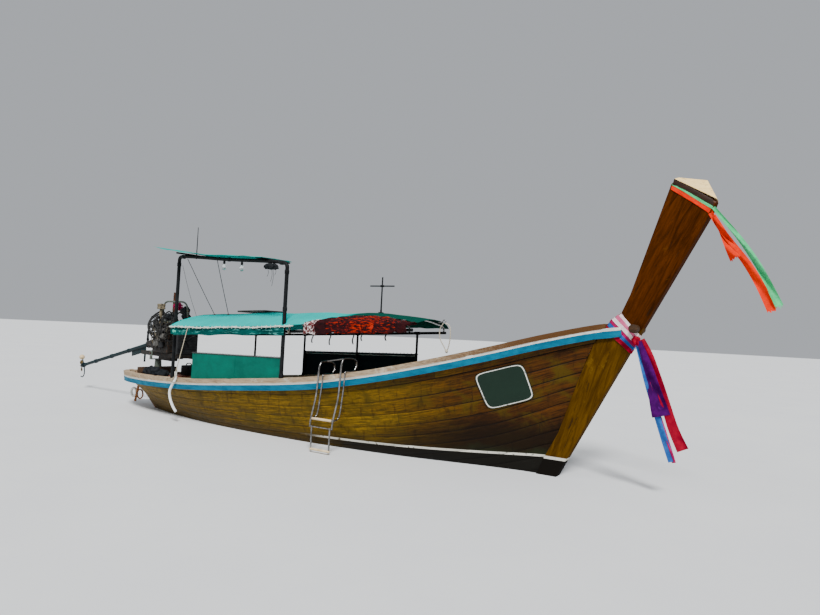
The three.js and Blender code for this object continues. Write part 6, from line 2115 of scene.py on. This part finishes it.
    def guard(self) -> None:
        """Makes the guard loop and the flower garland on it."""
        self.add("guard_loop_pipe", GREY_GREEN,
            pipe([(0.118, 0, 0.6004), (0.118, 0, 0.66), (0.084, 0, 0.9), (0.12, 0, 0.99), (0.2, 0, 1.03),
                    (0.52, 0, 1.036), (0.86, 0, 1.028), (0.97, 0, 0.985), (1.03, 0, 0.9), (1.042, 0, 0.6),
                    (1.042, 0, 0.5204)], 90, 0.017, 18), stands_for=("guard_loop",))
        rng = random.Random(11)
        low, high = node_box("garland")
        middle = (low + high) / 2
        sizes = Vector((0.112, 0.072, 0.078))
        petals = []
        for _ in range(150):
            theta, height = rng.uniform(0, 2 * math.pi), rng.uniform(-1, 1)
            ring = math.sqrt(1 - height * height)
            out = Vector((ring * math.cos(theta), ring * math.sin(theta), height))
            size = rng.uniform(0.018, 0.032)
            petal = sheet_shape(3, 3,
                lambda u, v: ((u - 0.5) * size * (1.2 - v), (v - 0.2) * size,
                    0.25 * size * ((u - 0.5) ** 2 * 4 + v * v)))
            spin = Matrix.Rotation(rng.uniform(0, 6.28), 4, "Z")
            tilt = Matrix.Rotation(rng.uniform(0.5, 1.1), 4, "X")
            place = Matrix.Translation(middle + Vector(a * b for a, b in zip(out, sizes)) * 0.82)
            petals.append(moved(thickened(petal, 0.0012),
                    place @ out.to_track_quat("Z", "Y").to_matrix().to_4x4() @ spin @ tilt))
        core = ball(middle, sizes * 0.75, 3, 0.01, 0.03)
        piece("flower_garland", gathered(core, *petals), MAGENTA, Body.ENGINE, ("garland",), 80)

    def long_tail(self) -> None:
        """Makes the tail tube with its plate and strut, and the skeg with its float."""
        end = -self.tail
        self.add_tail("tail_pipe", TEAL_PIPE,
            tube([Vector((end * k / 40, 0, 0)) for k in range(41)], lambda s: lerp(0.042, 0.0353, s), 24),
            rod((-0.001, 0, 0), (-0.03, 0, 0), 0.075, 28, 0.004),
            *(rod((-x, 0, 0), (-x - 0.07, 0, 0), 0.048, 24, 0.004, end_radius=0.047) for x in (0.9, 1.75, 2.6)),
            bar((-0.8, -0.005, -0.137), (-0.23, 0.005, 0.0), 0.002),
            rod((-0.17, 0, -0.01), (-0.24, 0, -0.33), 0.019, 20, 0.003), stands_for=("tail_tube",))
        ring = [(-0.03, 0.061 * math.cos(t), 0.061 * math.sin(t)) for t in angles(6)]
        self.add_tail("tail_flange_bolts", ALLOY, hex_heads(ring, (-1, 0, 0), 0.008, 0.012),
            hex_heads([(-0.3 - 0.1 * k, -0.005, -0.12) for k in range(5)], (0, -1, 0), 0.007, 0.006))
        self.add_tail("skeg_and_collar", TEAL_PIPE,
            turned(((0.0425, 0), (0.052, 0), (0.053, 0.01), (0.053, 0.08), (0.052, 0.093), (0.0375, 0.093),
                    (0.0425, 0)), (end + 0.095, 0, 0), (-9, 0, 0)),
            pipe([(end + 0.08, 0, -0.046), (end + 0.075, 0, -0.2), (end - 0.02, 0, -0.275), (end - 0.13, 0, -0.25)],
                40, 0.012, 14), rod((end + 0.04, 0, 0.045), (end - 0.03, 0, 0.19), 0.012, 14),
            stands_for=("tail_skeg",))
        self.add_tail("tail_float", CREAM, ball((end - 0.04, 0, 0.205), (0.062, 0.06, 0.058), 4, 0.006, 0.04),
            rod((end - 0.04, -0.062, 0.205), (end - 0.04, 0.062, 0.205), 0.014, 14, 0.003))

    def propeller(self) -> None:
        """Makes the two-bladed propeller."""
        end = -self.tail

        def blade(turn: float) -> Shape:
            """Returns one blade."""
            def place(u: float, v: float, w: float) -> Point:
                """Returns a point of the twisted blade."""
                r = lerp(0.02, 0.135, u)
                wide = 0.08 * math.sin(math.pi * (0.16 + 0.74 * u))
                pitch = lerp(1.05, 0.5, u)
                c = (v - 0.5) * wide
                thick = (w - 0.5) * 0.0075 * (1 - (2 * v - 1) ** 2 * 0.7)
                return (end - 0.08 + c * math.sin(pitch) + thick * math.cos(pitch),
                    c * math.cos(pitch) - thick * math.sin(pitch), r)
            return moved(bent_bar((14, 10, 1), place), Matrix.Rotation(turn, 4, "X"))

        self.add_tail("propeller_and_hub", BRONZE,
            turned(((0, 0), (0.033, 0), (0.033, 0.05), (0.026, 0.11), (0.016, 0.13), (0, 0.134)),
                (end - 0.0004, 0, 0), (-9, 0, 0)), blade(0.0), blade(math.pi), stands_for=("propeller",),
            body=Body.PROPELLER)


@dataclass(frozen=True)
class Ladder:
    """The steel boarding ladder hooked over the starboard gunwale, and its folding step."""

    uprights: Pair = (0.93, 1.325)
    lean: float = -0.08
    y: float = -1.085
    standoff: float = -1.002
    hinge: Pair = (-1.12, 0.36)
    radius: float = 0.013

    def build(self) -> None:
        """Builds the ladder and its step."""
        parts, r, lean, y, off = [], self.radius, self.lean, self.y, self.standoff
        for x in self.uprights:
            top = FORM.cap_top(x) + 0.185
            parts.append(pipe([(x + 0.02, -0.745, top - 0.13), (x + 0.018, -0.76, top - 0.04),
                        (x + 0.012, -0.81, top), (x + 0.006, -0.92, top + 0.014), (x, -1.03, top + 0.006),
                        (x, -1.07, top - 0.05), (x, y, top - 0.15), (x + lean * 0.3, y, 0.8),
                        (x + lean, y - 0.02, 0.47), (x + lean, self.hinge[0], self.hinge[1] - 0.01)], 90, r, 18))
            on_cap = FORM.cap_top(x) + r
            parts.append(pipe([(x + 0.018, -0.756, top - 0.1), (x + 0.016, -0.8, on_cap + 0.008),
                        (x + 0.014, -0.88, on_cap), (x + 0.014, off + 0.052, on_cap),
                        (x + 0.014, off + 0.012, on_cap + 0.002), (x + 0.012, off - 0.005, on_cap - 0.012),
                        (x + 0.01, off - 0.003, on_cap - 0.06), (x + lean * 0.3 + 0.008, off, 0.8),
                        (x + lean + 0.02, off - 0.016, 0.5), (x + lean + 0.004, y - 0.012, 0.47)], 90, r * 0.85,
                    16))
        a, b = self.uprights
        rung = y - 0.02
        parts.append(rod((a + lean, rung, 0.47), (b + lean, rung, 0.47), 0.014, 18))
        parts.append(rod((a + 0.006, -0.92, FORM.cap_top(a) + 0.204), (b + 0.006, -0.92, FORM.cap_top(b) + 0.204),
                r * 0.8, 16))
        shape = gathered(*parts)
        shift = node_box("ladder")[1].z - max(v.co.z for v in shape.verts)
        lower = Matrix.Translation((0, 0, shift))
        piece("ladder_tubes", moved(shape, lower), STEEL_PAINTED_DARK_REFLECTION, stands_for=("ladder",))
        piece("ladder_rung_sleeve",
            moved(rod((a + lean + 0.02, rung, 0.47), (b + lean - 0.02, rung, 0.47), 0.0175, 20, 0.004), lower),
            CREAM)
        hy, hz = self.hinge
        xs = (a + lean + 0.034, b + lean - 0.034)
        legs = [pipe([(x, hy, hz + 0.012), (x, hy, 0.2), (x, hy, 0.045)], 20, r * 0.9, 16) for x in xs]
        legs.append(rod((xs[0] - 0.0205, hy, hz), (xs[1] + 0.0205, hy, hz), 0.008, 14))
        piece("folding_step", moved(gathered(*legs), lower), STEEL_PAINTED_DARK_REFLECTION, Body.STEP, ("ladder_step",))
        piece("step_sleeve",
            moved(rod((xs[0] - 0.012, hy, 0.045), (xs[1] + 0.012, hy, 0.045), 0.017, 20, 0.004), lower), CREAM,
            Body.STEP)


@dataclass(frozen=True)
class SternGear:
    """The rusty bracket with its rings, and the bundle of gear on the stern deck."""

    rings: tuple[Point, Point] = ((-4.925, 0.0, 0.235), (-4.717, 0.0, 0.215))
    thick: Pair = (0.024, 0.015)
    ring_radius: float = 0.107

    def build(self) -> None:
        """Builds both."""
        hook = pipe([(-4.765, 0, 0.43), (-4.79, 0, 0.36), (-4.82, 0, 0.22), (-4.865, 0, 0.06)], 40, 0.024, 18)
        hoops = []
        for (x, y, z), thick in zip(self.rings, self.thick):
            reach = self.ring_radius - thick
            ring = [Vector((x + reach * math.cos(t), y, z + reach * math.sin(t))) for t in angles(40)]
            hoops.append(loop_tube(ring, thick, 14))
        aft_end = node_box("stern_bracket")[0].x
        shift = Matrix.Translation((aft_end - (self.rings[0][0] - self.ring_radius), 0, 0))
        piece("stern_bracket_iron", moved(gathered(hook, hoops[1]), shift), RUST, stands_for=("stern_bracket",))
        piece("stern_ring_white", moved(hoops[0], shift), WHITE)
        deck = node_box("stern_deck")[1].z
        heap = gathered(ball((-3.76, -0.33, deck + 0.07), (0.19, 0.12, 0.10), 5, 0.045, 0.07),
            ball((-3.95, -0.3, deck + 0.06), (0.15, 0.11, 0.10), 5, 0.04, 0.06),
            ball((-4.1, -0.22, deck + 0.035), (0.13, 0.1, 0.06), 4, 0.03, 0.06),
            ball((-3.6, -0.3, deck + 0.045), (0.12, 0.13, 0.07), 4, 0.03, 0.06))
        for vert in heap.verts:
            vert.co.z = max(vert.co.z, deck + 0.002)
        piece("gear_bundle", heap, NET, crease=80)
        turns, steps, reach = 4, 120, 0.085
        coil = [Vector((-3.62 + reach * math.cos(t), -0.12 + reach * math.sin(t), deck + 0.012 + 0.008 * t / 6.28))
            for t in (k / steps * 2 * math.pi * turns for k in range(steps + 1))]
        piece("deck_rope_coil", tube(coil, 0.007, 8), DARK_ROPE)
        low, high = Vector((-3.66, 0.16, deck + 0.001)), Vector((-3.45, 0.44, deck + 0.2))
        middle = (low + high) / 2
        grip = [(middle.x, low.y + 0.05, high.z - 0.01), (middle.x, low.y + 0.06, high.z + 0.03),
            (middle.x, high.y - 0.12, high.z + 0.03), (middle.x, high.y - 0.11, high.z - 0.01)]
        can = [bar(low, high, 0.022), pipe(grip, 24, 0.010, 12),
            turned(((0, 0), (0.026, 0), (0.028, 0.03), (0, 0.034)), (middle.x, high.y - 0.06, high.z - 0.004),
                (middle.x, high.y - 0.06, high.z + 1)),
            *(bar((low.x - 0.003, low.y + 0.03, z), (high.x + 0.003, high.y - 0.03, z + 0.012), 0.004)
                for z in (low.z + 0.05, low.z + 0.12))]
        piece("fuel_can", gathered(*can), TANK)


def main() -> None:
    """Builds every sub-assembly in order."""
    logging.basicConfig(level=logging.INFO, format="%(name)s %(message)s")
    studio = Studio()
    studio.set_camera()
    HangingHose().build()
    studio.set_light()
    for part in (Hull(), Ribbons(), CANOPY_PART, TallFrame(), RoofFittings(), Engine(), Ladder(), SternGear()):
        part.build()
        LOG.info("%s is built", type(part).__name__)
    bpy.context.view_layer.update()


if __name__ == "__main__":
    main()
